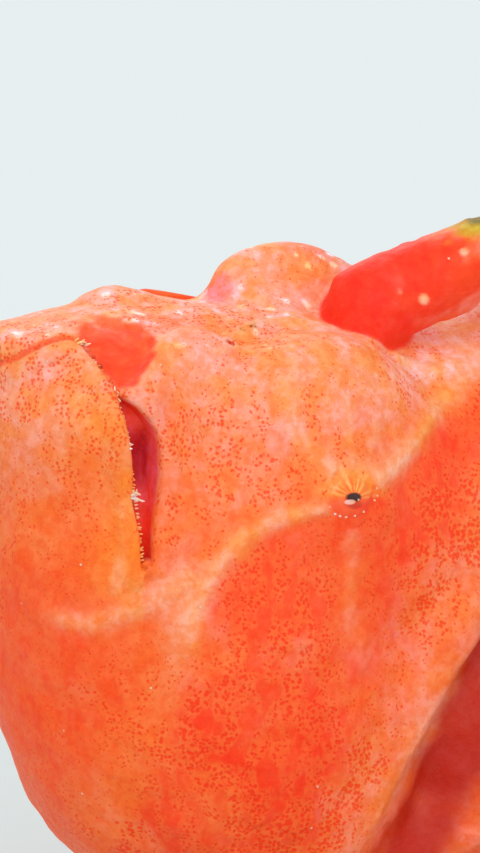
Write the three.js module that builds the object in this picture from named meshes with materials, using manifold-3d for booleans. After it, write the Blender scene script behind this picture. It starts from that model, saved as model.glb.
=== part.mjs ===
// A giant frogfish, life size, standing on its fins with its mouth a little open.
// Millimetres, +Z up, the snout towards -X, the fish's left side towards -Y, the floor at z = 0.
// The flesh is one implicit surface, a smooth union of ellipsoids and tapered limbs. It is
// polygonised, given its lips, rings and pores, and parted into named pieces by thin cuts.
// Each fin is a sheet over its rays, set into that flesh.
import * as THREE from "three";
import { mergeVertices } from "three/addons/utils/BufferGeometryUtils.js";
import Module from "manifold-3d";

const wasm = await Module();
wasm.setup();

// Small helpers
const V = (x, y, z) => new THREE.Vector3(x, y, z);
const { lerp, clamp, smoothstep, degToRad: rad } = THREE.MathUtils;
const SIDES = { left: -1, right: 1 };

// The gap that neighbouring pieces keep
const GAP = 0.3;

// Driving dimensions
const EYE = { x: -75, z: 90, radius: 6.2, sunk: 4.5, lid: 4.9 };
const BACK_Z = 123;
const SPINE_CUT_Z = 125.2;
const TAIL_ROOT = V(79, 0, 77);
const WRIST = V(10, 52, 16);
const ANKLE = V(-63, 25, 9.5);

// The origin is on the floor under the middle of the fish
const MIDDLE_X = -2.2;

// How the hind body sways to the fish's right
const SWAY = { from: 0, length: 120, by: 20 };

// How far the left hand steps forward and the right one back, and where the arm starts to
const STRIDE = { by: 6, from: 38, to: 52 };

// Steps of the polygoniser's grid, finer for the head, and how far the grid goes
const HEAD_STEP = 4.7;
const BODY_STEP = 6;
const REACH = { x: [-134, 112], y: [-74, 74], z: [-8, 150] };

function swayAt(x) {
  const t = Math.max(x - SWAY.from, 0) / SWAY.length;
  return SWAY.by * t * t;
}

function strideAt(y) {
  return STRIDE.by * Math.sign(y) * smoothstep(Math.abs(y), STRIDE.from, STRIDE.to);
}

// Smooth union of two distances, with a fillet about k wide
function join(a, b, k) {
  const h = Math.max(k - Math.abs(a - b), 0) / k;
  return Math.min(a, b) - (h * h * k) / 4;
}

// Distance a with the inside of b taken away, with a fillet about k wide
const cut = (a, b, k) => -join(-a, b, k);

// Distance to an ellipsoid whose +X end is tipped up by pitch degrees
function ellipsoid(x, y, z, rx, ry, rz, pitch = 0) {
  const c = Math.cos(rad(pitch));
  const s = Math.sin(rad(pitch));
  return (p) => {
    const u = c * (p.x - x) + s * (p.z - z);
    const v = p.y - y;
    const w = c * (p.z - z) - s * (p.x - x);
    const k0 = Math.hypot(u / rx, v / ry, w / rz);
    const k1 = Math.hypot(u / rx ** 2, v / ry ** 2, w / rz ** 2);
    return k1 < 1e-9 ? -Math.min(rx, ry, rz) : (k0 * (k0 - 1)) / k1;
  };
}

// Distance to a limb that tapers from radius ra at a to rb at b
function limb(a, b, ra, rb) {
  const along = b.clone().sub(a);
  const d = V(0, 0, 0);
  return (p) => {
    d.copy(p).sub(a);
    const t = clamp(d.dot(along) / along.lengthSq(), 0, 1);
    return d.addScaledVector(along, -t).length() - lerp(ra, rb, t);
  };
}

// Flesh on the midline. Each piece joins those before it with a fillet k wide
const midline = {
  trunk: { d: ellipsoid(-14, 0, 67, 64, 34, BACK_Z - 67), k: 1 },
  belly: { d: ellipsoid(-12, 0, 43, 50, 36, 36), k: 14 },
  hindTrunk: { d: ellipsoid(28, 0, 77, 48, 24, 35), k: 16 },
  peduncle: { d: ellipsoid(66, 0, 77, 23, 8, 13.5), k: 12 },
  skull: { d: ellipsoid(-72, 0, 82, 40, 33, 36), k: 12 },
  crown: { d: ellipsoid(-72, 0, 99, 40, 20, 23), k: 7 },
  snout: { d: ellipsoid(-97, 0, 103, 26, 24, 19.4), k: 6 },
  jaw: { d: ellipsoid(-109, 0, 102, 19.5, 26.5, 18), k: 4 },
  chin: { d: ellipsoid(-104, 0, 80, 23, 27, 38), k: 6 },
  throat: { d: ellipsoid(-90, 0, 52, 30, 30, 33), k: 12 },
  dorsalRoot: { d: limb(V(-22, 0, 119), V(66, 0, 97), 6, 4), k: 12 },
  analRoot: { d: limb(V(24, 0, 32), V(64, 0, 60), 6, 4), k: 12 },
  upperLip: { d: ellipsoid(-115, 0, 114.6, 13, 16, 5.2), k: 3 },
  illicialBump: { d: ellipsoid(-103, 0, 120, 6, 5, 4.2), k: 3 },
  secondSpine: { d: ellipsoid(-72, 0, 122, 13.5, 5.6, 10), k: 4 },
  secondWeb: { d: ellipsoid(-61, 0, 120, 13, 4, 8, -14), k: 5 },
  thirdSpine: { d: limb(V(-61.5, -13.5, 121.8), V(-40, -18.8, 130.2), 7.7, 6.6), k: 2.2 },
};

// Flesh given for the right side and mirrored to the left
const paired = {
  branchialBag: { d: ellipsoid(-81, 14, 52, 30, 21, 32, 8), k: 3.5 },
  bagEdge: { d: limb(V(-51, 27, 67), V(-74, 25, 31), 4.5, 4.5), k: 6 },
  cheek: { d: ellipsoid(-86, 20, 74, 20, 12, 22), k: 9 },
  maxilla: { d: limb(V(-102, 24, 82), V(-101.5, 21.5, 103), 4, 4.2), k: 3 },
  maxillaTop: { d: limb(V(-107.5, 22.3, 106.5), V(-95, 18.5, 114), 3.4, 3.5), k: 3 },
  brow: { d: ellipsoid(-76, 22, 104, 17, 9, 12), k: 8 },
  orbit: { d: ellipsoid(EYE.x, 28, EYE.z, 9, 6.5, 8.5), k: 5 },
  upperArm: { d: limb(V(-8, 27, 48), V(4, 44, 29), 17, 12.5), k: 12 },
  forearm: { d: limb(V(4, 44, 29), WRIST, 12.5, 9), k: 5 },
  thigh: { d: limb(V(-55, 14, 26), ANKLE, 11, 6.6), k: 7 },
};

// The fold behind the free edge of each branchial bag, cut from the flesh
const bagFold = { d: limb(V(-44.5, 31, 66), V(-67, 31, 29), 3, 3), k: 2 };

function fleshAt(p) {
  const q = V(p.x, p.y - swayAt(p.x), p.z);
  let d = Infinity;
  for (const piece of Object.values(midline)) d = join(d, piece.d(q), piece.k);
  q.x -= strideAt(q.y);
  q.y = Math.abs(q.y);
  for (const piece of Object.values(paired)) d = join(d, piece.d(q), piece.k);
  return cut(d, bagFold.d(q), bagFold.k);
}

// How fast field rises at a point along each axis
function slopeAt(p, field) {
  const h = 0.2;
  const rise = (...by) => field(V(...by).add(p)) - field(V(...by).negate().add(p));
  return V(rise(h, 0, 0), rise(0, h, 0), rise(0, 0, h)).divideScalar(2 * h);
}

// Moves a point onto the surface where field is zero
function settle(p, field) {
  for (let pass = 0; pass < 2; pass++) {
    const slope = slopeAt(p, field);
    p.addScaledVector(slope, clamp(-field(p) / Math.max(slope.lengthSq(), 0.2), -1, 1));
  }
  return p;
}

// Evenly spaced marks from lo past hi
function marks([lo, hi], step) {
  return Array.from({ length: Math.ceil((hi - lo) / step) + 1 }, (_, n) => lo + n * step);
}

// A grid cell's corners, its edges from corner m to n along an axis, and its faces
const CORNERS = [0, 1, 2, 3, 4, 5, 6, 7].map((n) => [n >> 2, (n >> 1) & 1, n & 1]);
const EDGES = CORNERS.flatMap((corner, m) =>
  [0, 1, 2].filter((axis) => !corner[axis]).map((axis) => ({ m, n: m | (4 >> axis), axis })),
);
const FACES = [0, 1, 2].flatMap((axis) =>
  [0, 1].map((end) => EDGES.filter(({ m, n }) => CORNERS[m][axis] === end && CORNERS[n][axis] === end)),
);

// A cell's crossed edges in groups, one group for each sheet of the surface in the cell.
// Crossings on one face belong together; four of them pair up round the inside corners
function sheetsIn(inside) {
  const crossed = EDGES.filter(({ m, n }) => inside[m] !== inside[n]);
  const label = new Map(crossed.map((edge, n) => [edge, n]));
  for (const face of FACES) {
    const here = face.filter((edge) => label.has(edge));
    for (const a of here)
      for (const b of here) {
        const shared = [a.m, a.n].find((corner) => corner === b.m || corner === b.n);
        if (here.length === 4 && !inside[shared]) continue;
        const [from, to] = [label.get(a), label.get(b)];
        for (const [edge, name] of label) if (name === from) label.set(edge, to);
      }
  }
  return [...new Set(label.values())].map((name) => crossed.filter((edge) => label.get(edge) === name));
}

// The closed surface where field is zero, then moved out by swell: one point for each sheet in
// each grid cell, and a square across each grid edge that the surface crosses
function polygonise(field, step, swell = 0) {
  const axes = [marks(REACH.x, step), marks(REACH.y, step), marks(REACH.z, step)];
  const [nx, ny, nz] = axes.map((list) => list.length);
  const at = (i, j, k) => (i * ny + j) * nz + k;
  const value = new Float64Array(nx * ny * nz);
  const place = V(0, 0, 0);
  for (let i = 0; i < nx; i++)
    for (let j = 0; j < ny; j++)
      for (let k = 0; k < nz; k++) {
        place.set(axes[0][i], axes[1][j], axes[2][k]);
        value[at(i, j, k)] = field(place);
      }

  const points = [];
  const pointOf = new Map();
  const key = (cell, m, axis) => (cell * 8 + m) * 3 + axis;
  for (let i = 0; i < nx - 1; i++)
    for (let j = 0; j < ny - 1; j++)
      for (let k = 0; k < nz - 1; k++) {
        const values = CORNERS.map(([di, dj, dk]) => value[at(i + di, j + dj, k + dk)]);
        const inside = values.map((v) => v < 0);
        if (inside.every((v) => v === inside[0])) continue;
        for (const sheet of sheetsIn(inside)) {
          const middle = V(0, 0, 0);
          for (const { m, axis } of sheet) {
            const n = m | (4 >> axis);
            const cell = CORNERS[m].map((bit, a) => axes[a][[i, j, k][a] + bit]);
            cell[axis] += (step * values[m]) / (values[m] - values[n]);
            middle.add(V(...cell));
          }
          for (const { m, axis } of sheet) pointOf.set(key(at(i, j, k), m, axis), points.length);
          const point = settle(middle.divideScalar(sheet.length), field);
          points.push(point.addScaledVector(slopeAt(point, field).normalize(), swell));
        }
      }

  const index = [];
  const square = (corners, turned) => {
    const [a, b, c, d] = corners;
    const acShorter = points[a].distanceTo(points[c]) < points[b].distanceTo(points[d]);
    const two = acShorter ? [a, b, c, a, c, d] : [b, c, d, b, d, a];
    index.push(...(turned ? two.reverse() : two));
  };
  for (let i = 1; i < nx - 1; i++)
    for (let j = 1; j < ny - 1; j++)
      for (let k = 1; k < nz - 1; k++)
        for (let axis = 0; axis < 3; axis++) {
          const here = [i, j, k];
          const next = here.map((n, a) => n + (a === axis));
          const inside = value[at(...here)] < 0;
          if (inside === value[at(...next)] < 0) continue;
          // The four cells round this grid edge, each with the corner that the edge starts from
          const [u, v] = [(axis + 1) % 3, (axis + 2) % 3];
          const corners = [[1, 1], [0, 1], [0, 0], [1, 0]].map(([du, dv]) => {
            const cell = here.map((n, a) => n - (a === u ? du : 0) - (a === v ? dv : 0));
            const m = (du && 4 >> u) | (dv && 4 >> v);
            return pointOf.get(key(at(...cell), m, axis));
          });
          square(corners, !inside);
        }
  return solid(new THREE.BufferGeometry().setFromPoints(points).setIndex(index));
}

// A closed geometry as a manifold-3d solid
function solid(geometry) {
  const bare = geometry.clone();
  bare.deleteAttribute("normal");
  bare.deleteAttribute("uv");
  const merged = mergeVertices(bare, 1e-4);
  const vertProperties = new Float32Array(merged.attributes.position.array);
  const triVerts = new Uint32Array(merged.index.array);
  return new wasm.Manifold(new wasm.Mesh({ numProp: 3, vertProperties, triVerts }));
}

// A geometry turned so that its +Z lies along axis, and moved to a place
function placed(geometry, place, axis = V(0, 0, 1)) {
  const turn = new THREE.Quaternion().setFromUnitVectors(V(0, 0, 1), axis.clone().normalize());
  return solid(geometry.applyQuaternion(turn).translate(place.x, place.y, place.z));
}

const box = (x, y, z) => new THREE.BoxGeometry(x, y, z);
const ball = (radius, sides = 14) => new THREE.SphereGeometry(radius, sides, sides * 0.6);
const ring = (radius, tube, sides = 20) => new THREE.TorusGeometry(radius, tube, 6, sides);

// The skin's point at x and z on one side, and the way it faces there
function skinAt(x, z, side) {
  let [inner, outer] = [0, 60];
  const y = (t) => side * t + swayAt(x);
  for (let pass = 0; pass < 24; pass++) {
    const middle = (inner + outer) / 2;
    if (fleshAt(V(x, y(middle), z)) < 0) inner = middle;
    else outer = middle;
  }
  const point = V(x, y(inner), z);
  return { point, out: slopeAt(point, fleshAt).normalize() };
}

// The skin's point over x and y, from above or below
function ridgeAt(x, way = 1, y = 0) {
  let [inner, outer] = [77, 77 + way * 80];
  for (let pass = 0; pass < 24; pass++) {
    const middle = (inner + outer) / 2;
    if (fleshAt(V(x, y + swayAt(x), middle)) < 0) inner = middle;
    else outer = middle;
  }
  return V(x, 0, inner);
}

// A round bar along a curve through points, from radius r0 to r1 and with closed ends
function bar(points, r0, r1, steps, sides = 8) {
  const curve = new THREE.CatmullRomCurve3(points);
  const circle = new THREE.Shape().absarc(0, 0, 1, 0, 2 * Math.PI);
  const how = { extrudePath: curve, steps, curveSegments: sides / 2, bevelEnabled: false };
  const geometry = new THREE.ExtrudeGeometry(circle, how);
  // The extrusion has unit radius, and each of its rings is drawn in to its own
  const position = geometry.attributes.position;
  const centres = curve.getSpacedPoints(steps);
  const point = V(0, 0, 0);
  for (let n = 0; n < position.count; n++) {
    point.fromBufferAttribute(position, n);
    let nearest = 0;
    for (let m = 1; m <= steps; m++)
      if (centres[m].distanceToSquared(point) < centres[nearest].distanceToSquared(point)) nearest = m;
    const radius = lerp(r0, r1, nearest / steps);
    point.sub(centres[nearest]).multiplyScalar(radius).add(centres[nearest]);
    position.setXYZ(n, point.x, point.y, point.z);
  }
  return solid(geometry);
}

// A fin: a sheet through its rays, thick along each ray and thin between them. A ray is a
// function from 0 at its root to 1 at its tip, and the web stops short of the tips by notch
function fin(rays, { rows, rayHalf, webHalf, notch }) {
  const columns = [];
  rays.forEach((ray, n) => {
    columns.push({ at: ray, half: rayHalf });
    const next = rays[n + 1];
    const web = (t) => ray(t * (1 - notch)).lerp(next(t * (1 - notch)), 0.5);
    if (next) columns.push({ at: web, half: webHalf });
  });
  const grid = columns.map(({ at }) => Array.from({ length: rows + 1 }, (_, r) => at(r / rows)));
  const last = columns.length - 1;
  const points = [];
  for (const way of [1, -1])
    columns.forEach(({ half }, c) => {
      for (let r = 0; r <= rows; r++) {
        const across = grid[Math.min(c + 1, last)][r].clone().sub(grid[Math.max(c - 1, 0)][r]);
        const along = grid[c][Math.min(r + 1, rows)].clone().sub(grid[c][Math.max(r - 1, 0)]);
        const out = across.cross(along).normalize();
        const thick = lerp(half[0], half[1], r / rows);
        points.push(grid[c][r].clone().addScaledVector(out, way * thick));
      }
    });
  const at = (face, c, r) => (face * (last + 1) + c) * (rows + 1) + r;
  const index = [];
  const quad = (a, b, c, d) => index.push(a, b, c, a, c, d);
  for (let c = 0; c < last; c++)
    for (let r = 0; r < rows; r++) {
      quad(at(0, c, r), at(0, c + 1, r), at(0, c + 1, r + 1), at(0, c, r + 1));
      index.push(at(1, c, r), at(1, c + 1, r + 1), at(1, c + 1, r));
      index.push(at(1, c, r), at(1, c, r + 1), at(1, c + 1, r + 1));
    }
  for (let c = 0; c < last; c++) {
    quad(at(1, c, 0), at(1, c + 1, 0), at(0, c + 1, 0), at(0, c, 0));
    quad(at(0, c, rows), at(0, c + 1, rows), at(1, c + 1, rows), at(1, c, rows));
  }
  for (let r = 0; r < rows; r++) {
    quad(at(0, 0, r), at(0, 0, r + 1), at(1, 0, r + 1), at(1, 0, r));
    quad(at(1, last, r), at(1, last, r + 1), at(0, last, r + 1), at(0, last, r));
  }
  return solid(new THREE.BufferGeometry().setFromPoints(points).setIndex(index));
}

// Count evenly spaced shares from 0 to 1
const shares = (count) => Array.from({ length: count }, (_, n) => n / (count - 1));

// Dorsal fin: 13 rays that lean back more and more, on a wavy edge
const DORSAL = { rays: 13, from: -25, to: 68, lean: [14, 62], longest: 31, sunk: 5 };
const dorsalRays = shares(DORSAL.rays).map((s) => {
  const root = ridgeAt(lerp(DORSAL.from, DORSAL.to, s));
  const lean = rad(lerp(...DORSAL.lean, s ** 1.4));
  const length = DORSAL.longest * (0.55 + 0.45 * Math.sin(Math.PI * (0.08 + 0.66 * s)));
  return (t) => {
    const d = lerp(-DORSAL.sunk, length, t);
    const curl = lean + 0.35 * t * t;
    const x = root.x + d * Math.sin(curl);
    const wave = 2.4 * t * Math.sin(7 * s + 1.5);
    return V(x, swayAt(x) + wave, root.z + d * Math.cos(curl));
  };
});

// Anal fin: 8 rays below the hind body
const ANAL = { rays: 8, from: 28, to: 69, lean: [24, 58], longest: 27, sunk: 5 };
const analRays = shares(ANAL.rays).map((s) => {
  const root = ridgeAt(lerp(ANAL.from, ANAL.to, s), -1);
  const lean = rad(lerp(...ANAL.lean, s));
  const length = ANAL.longest * (0.55 + 0.45 * Math.sin(Math.PI * (0.12 + 0.6 * s)));
  return (t) => {
    const d = lerp(-ANAL.sunk, length, t);
    const curl = lean + 0.3 * t * t;
    const x = root.x + d * Math.sin(curl);
    const wave = 1.6 * t * Math.sin(6 * s);
    return V(x, swayAt(x) + wave, root.z - d * Math.cos(curl));
  };
});

// Tail fin: 9 rays that fan from the peduncle's end
const CAUDAL = { rays: 9, fan: 30, root: 9, longest: 52, sunk: 7 };
const caudalRays = shares(CAUDAL.rays).map((s) => {
  const across = 2 * s - 1;
  const angle = rad(CAUDAL.fan * across);
  const length = CAUDAL.longest * (1 - 0.1 * across * across);
  return (t) => {
    const d = t * length;
    const x = TAIL_ROOT.x - CAUDAL.sunk + d * Math.cos(angle);
    const wave = 2 * t * Math.cos(5 * s);
    return V(x, swayAt(x) + wave, TAIL_ROOT.z + CAUDAL.root * across + d * Math.sin(angle));
  };
});

// A hand or foot: rays that fan from the limb's end, droop and lie on the floor at their tips
function fanRays(root, side, { rays, from, to, length, width, sunk }) {
  const TIP_Z = 0.75;
  return shares(rays).map((s) => {
    const angle = rad(lerp(from, to, s));
    const out = V(-Math.cos(angle), side * Math.sin(angle), 0);
    const reach = length * (0.84 + 0.16 * Math.sin(Math.PI * s));
    const start = V(root.x + strideAt(side * root.y) + width * (s - 0.5), side * root.y, root.z);
    return (t) => {
      const d = lerp(-sunk, reach, t);
      const fall = smoothstep(d, 0, 0.86 * reach);
      const z = d < 0 ? start.z - 0.15 * d : lerp(start.z, TIP_Z, fall) + 0.6 * Math.sin(Math.PI * fall);
      return V(start.x + out.x * d, start.y + out.y * d, z);
    };
  });
}
const HAND = { rays: 11, from: 24, to: 150, length: 31, width: 14, sunk: 6 };
const FOOT = { rays: 5, from: 4, to: 108, length: 17, width: 7, sunk: 4 };

// Illicium: the fishing rod, laid back along the skin on the right of the second spine
const ROD = { from: V(-103, 2, 0), to: V(-60, 13.5, 0), base: 0.85, tip: 0.5, points: 7 };
const LURE = { lobes: 7, length: 5.2, radius: 1.1 };
const rodPath = shares(ROD.points).map((s) => {
  const { x } = ROD.from.clone().lerp(ROD.to, s);
  const y = lerp(ROD.from.y, ROD.to.y, s ** 0.5);
  return V(x, y, ridgeAt(x, 1, y).z + lerp(-1, 1.4, Math.min(5 * s, 1)));
});

// Side view of the two edges of the mouth, from its corner up and forward round the shoulder
const RIM = [
  [-109.4, 79], [-109.8, 88], [-111.6, 99], [-113.4, 108],
  [-116.2, 116], [-121.6, 116], [-127, 112],
];
const GUM = [
  [-108.2, 80], [-107.4, 88], [-106.2, 95], [-106.4, 101.6], [-109.4, 105.8],
  [-112.2, 110.2], [-115.6, 117.2], [-121.7, 117.6], [-127, 114.4],
];

// The inside of the head, which closes the mouth's opening about 13 mm in
const CORE = { place: V(-104, 0, 94), radii: V(15, 13, 19) };

// A side view, given by its outline in X and Z, as a solid right through the head
function throughHead(outline) {
  const depth = 120;
  const shape = new THREE.Shape(outline);
  const geometry = new THREE.ExtrudeGeometry(shape, { depth, bevelEnabled: false });
  // The shape lies in X and Y and is turned up, so that its Y becomes Z
  return solid(geometry.translate(0, 0, -depth / 2).rotateX(Math.PI / 2));
}

// The mouth's opening between rim and gum, and the thin cut that parts the jaw from the head
function mouthGap() {
  const at = (x, z) => new THREE.Vector2(x, z);
  const path = (list) => new THREE.SplineCurve(list.map((p) => at(...p))).getPoints(16);
  const opening = throughHead([...path(RIM), at(-140, 104), at(-140, 106), ...path(GUM).reverse()]);
  const { place, radii } = CORE;
  const core = placed(ball(1, 16).scale(radii.x, radii.y, radii.z), place);
  const cut = [at(-134, 54), ...path(RIM), at(-140, 104.4)];
  const ahead = cut.map((p) => at(p.x + GAP / 3, p.y + GAP / 3));
  const behind = cut.map((p) => at(p.x + GAP * 1.5, p.y + GAP * 1.5));
  return opening.subtract(core).add(throughHead([...ahead, ...behind.reverse()]));
}

// The lower lip: a soft roll along the rim, from one corner of the mouth round to the other
const LIP = { radius: 2, sunk: 1, ahead: 1.6, steps: 30 };
function rimPoint(share, side) {
  const curve = new THREE.SplineCurve(RIM.slice(0, -1).map((p) => new THREE.Vector2(...p)));
  const { x, y: z } = curve.getPoint(share);
  return skinAt(x - LIP.ahead, z - 0.4, side);
}
function lowerLip() {
  const at = (share, side) => {
    const { point, out } = rimPoint(share, side);
    return point.addScaledVector(out, -LIP.sunk);
  };
  const left = shares(7).map((share) => at(share, -1));
  const right = shares(7).map((share) => at(share, 1));
  return bar([...left, ...right.reverse()], LIP.radius, LIP.radius, LIP.steps);
}

// Pale skin tabs on the lower lip, by their share of the way from its corner
const TABS = [
  { share: 0.26, side: -1, length: 3.4 },
  { share: 0.44, side: -1, length: 3.2 },
  { share: 0.6, side: -1, length: 3.6 },
  { share: 0.8, side: -1, length: 3 },
  { share: 0.3, side: 1, length: 3.2 },
  { share: 0.52, side: 1, length: 3.4 },
  { share: 0.74, side: 1, length: 3.2 },
];
function tab({ share, side, length }) {
  const { point, out } = rimPoint(share, side);
  const cone = new THREE.ConeGeometry(1.1, length + 2.5, 5).rotateX(Math.PI / 2).translate(0, 0, length / 2);
  return placed(cone, point, out.add(V(0.35, 0, 0.2)));
}

// The half of space on the far side of a plane through place, as a large box
const HALF = 400;
function beyond(place, normal) {
  const way = normal.clone().normalize();
  return placed(box(HALF, HALF, HALF), place.clone().addScaledVector(way, HALF / 2 - GAP / 2), way);
}

// The head's surface is finer than the body's. Each runs a little past the neck and is cut there
const NECK = { place: V(-40, 0, 66), normal: V(1, 0, -0.1), overlap: 20 };
function polygoniseParted(swell) {
  const { place, normal, overlap } = NECK;
  const front = polygonise((p) => Math.max(fleshAt(p), p.x - place.x - overlap), HEAD_STEP, swell);
  const rear = polygonise((p) => Math.max(fleshAt(p), place.x - overlap - p.x), BODY_STEP, swell);
  return front.subtract(beyond(place, normal)).add(rear.subtract(beyond(place, normal.clone().negate())));
}

const whole = polygoniseParted(0);
const grown = polygoniseParted(GAP * 1.2);
const floor = placed(box(HALF, HALF, 20), V(0, 0, -10));

// Lips, eye rings, nostrils and gill pores
const NOSTRILS = [[-91, 115], [-84, 117]];
const GILL_PORE = [26, 38];
let flesh = whole.add(lowerLip());
const eyes = {};
for (const [name, side] of Object.entries(SIDES)) {
  const { point, out } = skinAt(EYE.x, EYE.z, side);
  const centre = point.clone().addScaledVector(out, -EYE.sunk);
  eyes[name] = placed(ball(EYE.radius, 16), centre, out);
  flesh = flesh.add(placed(ring(EYE.lid, 0.9, 18), point.clone().addScaledVector(out, -0.3), out));
  flesh = flesh.subtract(placed(ball(EYE.radius + GAP, 16), centre, out));
  for (const [x, z] of NOSTRILS) {
    const nostril = skinAt(x, z, side);
    flesh = flesh.add(placed(ring(1.3, 0.9, 8), nostril.point, nostril.out));
  }
  const pore = skinAt(...GILL_PORE, side);
  const hole = new THREE.CylinderGeometry(1.6, 1.2, 6, 8).rotateX(Math.PI / 2);
  flesh = flesh.add(placed(ring(2.6, 1.3, 10), pore.point, pore.out));
  flesh = flesh.subtract(placed(hole, pore.point, pore.out));
}
for (const each of TABS) flesh = flesh.add(tab(each));
flesh = flesh.subtract(mouthGap()).subtract(floor);

// Thin plates that part the flesh, each with its middle, its normal and its size
const plates = [
  [V(62, swayAt(62), 77), V(1, 0.12, 0), 80, 70],
  [V(-58, 0, SPINE_CUT_Z), V(0, 0, 1), 60, 52],
  [V(-58, -5.4, SPINE_CUT_Z + 8), V(0.3, -1, -0.1), 15.8, 34],
  ...Object.values(SIDES).flatMap((side) => [
    [V(2, side * 41, 34), V(0.3, side * 0.9, -0.3), 70, 60],
    [V(-59.5, side * 19.5, 17), V(-0.35, side * 0.5, -0.8), 26, 26],
  ]),
];
for (const [place, normal, wide, high] of plates)
  flesh = flesh.subtract(placed(box(wide, high, GAP), place, normal));

// What each piece of the flesh is, by a point near its middle
const FLESH_NODES = {
  head: V(-76, 0, 75),
  torso: V(0, 0, 70),
  caudal_peduncle: V(78, 8, 77),
  lower_jaw: V(-118, 0, 92),
  second_dorsal_spine: V(-70, 0, 129),
  third_dorsal_spine: V(-45, -15, 131),
  left_arm: V(6, -50, 24),
  right_arm: V(14, 50, 24),
  left_leg: V(-61, -22, 12),
  right_leg: V(-61, 22, 12),
};

// A solid's largest closed body as a named mesh
function largest(shape) {
  return shape.decompose().reduce((a, b) => (b.volume() > a.volume() ? b : a));
}

const fish = new THREE.Group();
function add(name, shape, material) {
  const { vertProperties, triVerts } = largest(shape).getMesh();
  const geometry = new THREE.BufferGeometry();
  geometry.setAttribute("position", new THREE.BufferAttribute(vertProperties, 3));
  geometry.setIndex(new THREE.BufferAttribute(triVerts, 1));
  geometry.computeVertexNormals();
  const mesh = new THREE.Mesh(geometry, material);
  mesh.name = name;
  fish.add(mesh);
}

// Materials
const skin = new THREE.MeshStandardMaterial({ color: 0xf25a2c, roughness: 0.5 });
const finSkin = new THREE.MeshStandardMaterial({ color: 0xe8481f, roughness: 0.5 });
const eyeMaterial = new THREE.MeshStandardMaterial({ color: 0x2a0d06, roughness: 0.1 });
const lureMaterial = new THREE.MeshStandardMaterial({ color: 0xf3d9b0, roughness: 0.6 });

const pieces = flesh.decompose();
for (const [name, seed] of Object.entries(FLESH_NODES)) {
  const away = (piece) => {
    const { min, max } = piece.boundingBox();
    return seed.distanceTo(V((min[0] + max[0]) / 2, (min[1] + max[1]) / 2, (min[2] + max[2]) / 2));
  };
  add(name, pieces.filter((p) => p.volume() > 50).reduce((a, b) => (away(b) < away(a) ? b : a)), skin);
}
for (const [name, shape] of Object.entries(eyes)) add(`${name}_eye`, shape, eyeMaterial);

// Half thicknesses of each kind of fin at its root and its edge, and its rows of faces
const MEDIAN_SHEET = { rows: 7, rayHalf: [1.6, 0.7], webHalf: [0.9, 0.45], notch: 0.06 };
const ANAL_SHEET = { ...MEDIAN_SHEET, rows: 6 };
const TAIL_SHEET = { ...MEDIAN_SHEET, rows: 7, rayHalf: [1.8, 0.7], webHalf: [1, 0.45] };
const HAND_SHEET = { rows: 6, rayHalf: [2.3, 0.9], webHalf: [1.3, 0.5], notch: 0.16 };
const FOOT_SHEET = { rows: 5, rayHalf: [2.2, 0.9], webHalf: [1.3, 0.55], notch: 0.22 };

// Fins, each cut back to the flesh that it grows from and to the floor
const SHEETS = {
  dorsal_fin: [dorsalRays, MEDIAN_SHEET],
  anal_fin: [analRays, ANAL_SHEET],
  caudal_fin: [caudalRays, TAIL_SHEET],
  left_hand: [fanRays(WRIST, -1, HAND), HAND_SHEET],
  right_hand: [fanRays(WRIST, 1, HAND), HAND_SHEET],
  left_foot: [fanRays(ANKLE, -1, FOOT), FOOT_SHEET],
  right_foot: [fanRays(ANKLE, 1, FOOT), FOOT_SHEET],
};
for (const [name, [rays, how]] of Object.entries(SHEETS))
  add(name, fin(rays, how).subtract(grown).subtract(floor), finSkin);

// The rod and its lure, a tuft of tapered lobes
const rod = bar(rodPath, ROD.base, ROD.tip, 16, 6).subtract(grown);
add("illicium", rod, skin);
const [rodEnd, beforeEnd] = [rodPath.at(-1), rodPath.at(-2)];
const rodWay = rodEnd.clone().sub(beforeEnd).normalize();
const knobRadius = LURE.radius * 1.3;
const lureRoot = rodEnd.clone().addScaledVector(rodWay, knobRadius + GAP);
let lure = placed(ball(knobRadius, 10), lureRoot);
for (let n = 0; n < LURE.lobes; n++) {
  const turn = (n / LURE.lobes) * 2 * Math.PI;
  const way = V(1, 0.55 * Math.cos(turn), 0.35 + 0.5 * Math.sin(turn));
  const cone = new THREE.ConeGeometry(LURE.radius, LURE.length, 5).rotateX(Math.PI / 2);
  lure = lure.add(placed(cone.translate(0, 0, LURE.length / 2), lureRoot, way));
}
add("esca", lure.subtract(grown), lureMaterial);

fish.position.x = -MIDDLE_X;
export default fish;
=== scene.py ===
"""The looks of a giant frogfish: one moulded skin, its fins, eyes and lure, a floor, lights and a camera.

Lengths are in millimetres in the fish's own frame: +Z up, the mouth towards -X and the left side
towards -Y. make_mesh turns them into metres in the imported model's frame.
"""
import math

import bpy
import numpy as np
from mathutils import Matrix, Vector


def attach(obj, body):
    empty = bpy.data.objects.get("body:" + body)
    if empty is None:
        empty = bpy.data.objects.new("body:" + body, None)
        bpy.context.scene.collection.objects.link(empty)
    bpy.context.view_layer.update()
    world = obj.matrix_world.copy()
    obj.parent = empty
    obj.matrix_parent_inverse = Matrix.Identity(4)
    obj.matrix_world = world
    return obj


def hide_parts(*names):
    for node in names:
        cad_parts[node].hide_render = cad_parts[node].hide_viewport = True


MM = 0.001

# Driving dimensions, as in the solids
MIDDLE_X = -2.2
EYE = {"x": -75.0, "z": 90.0}
BACK_Z = 123.0
TAIL_ROOT = (79.0, 0.0, 77.0)
WRIST = (10.0, 52.0, 16.0)
ANKLE = (-63.0, 25.0, 9.5)
SWAY = {"from": 0.0, "length": 120.0, "by": 20.0}
STRIDE = {"by": 6.0, "from": 38.0, "to": 52.0}
# No flesh lies farther from the middle plane than WIDEST, or from AXIS_Z than TALLEST
WIDEST = 60.0
AXIS_Z = 77.0
TALLEST = 80.0

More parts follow.
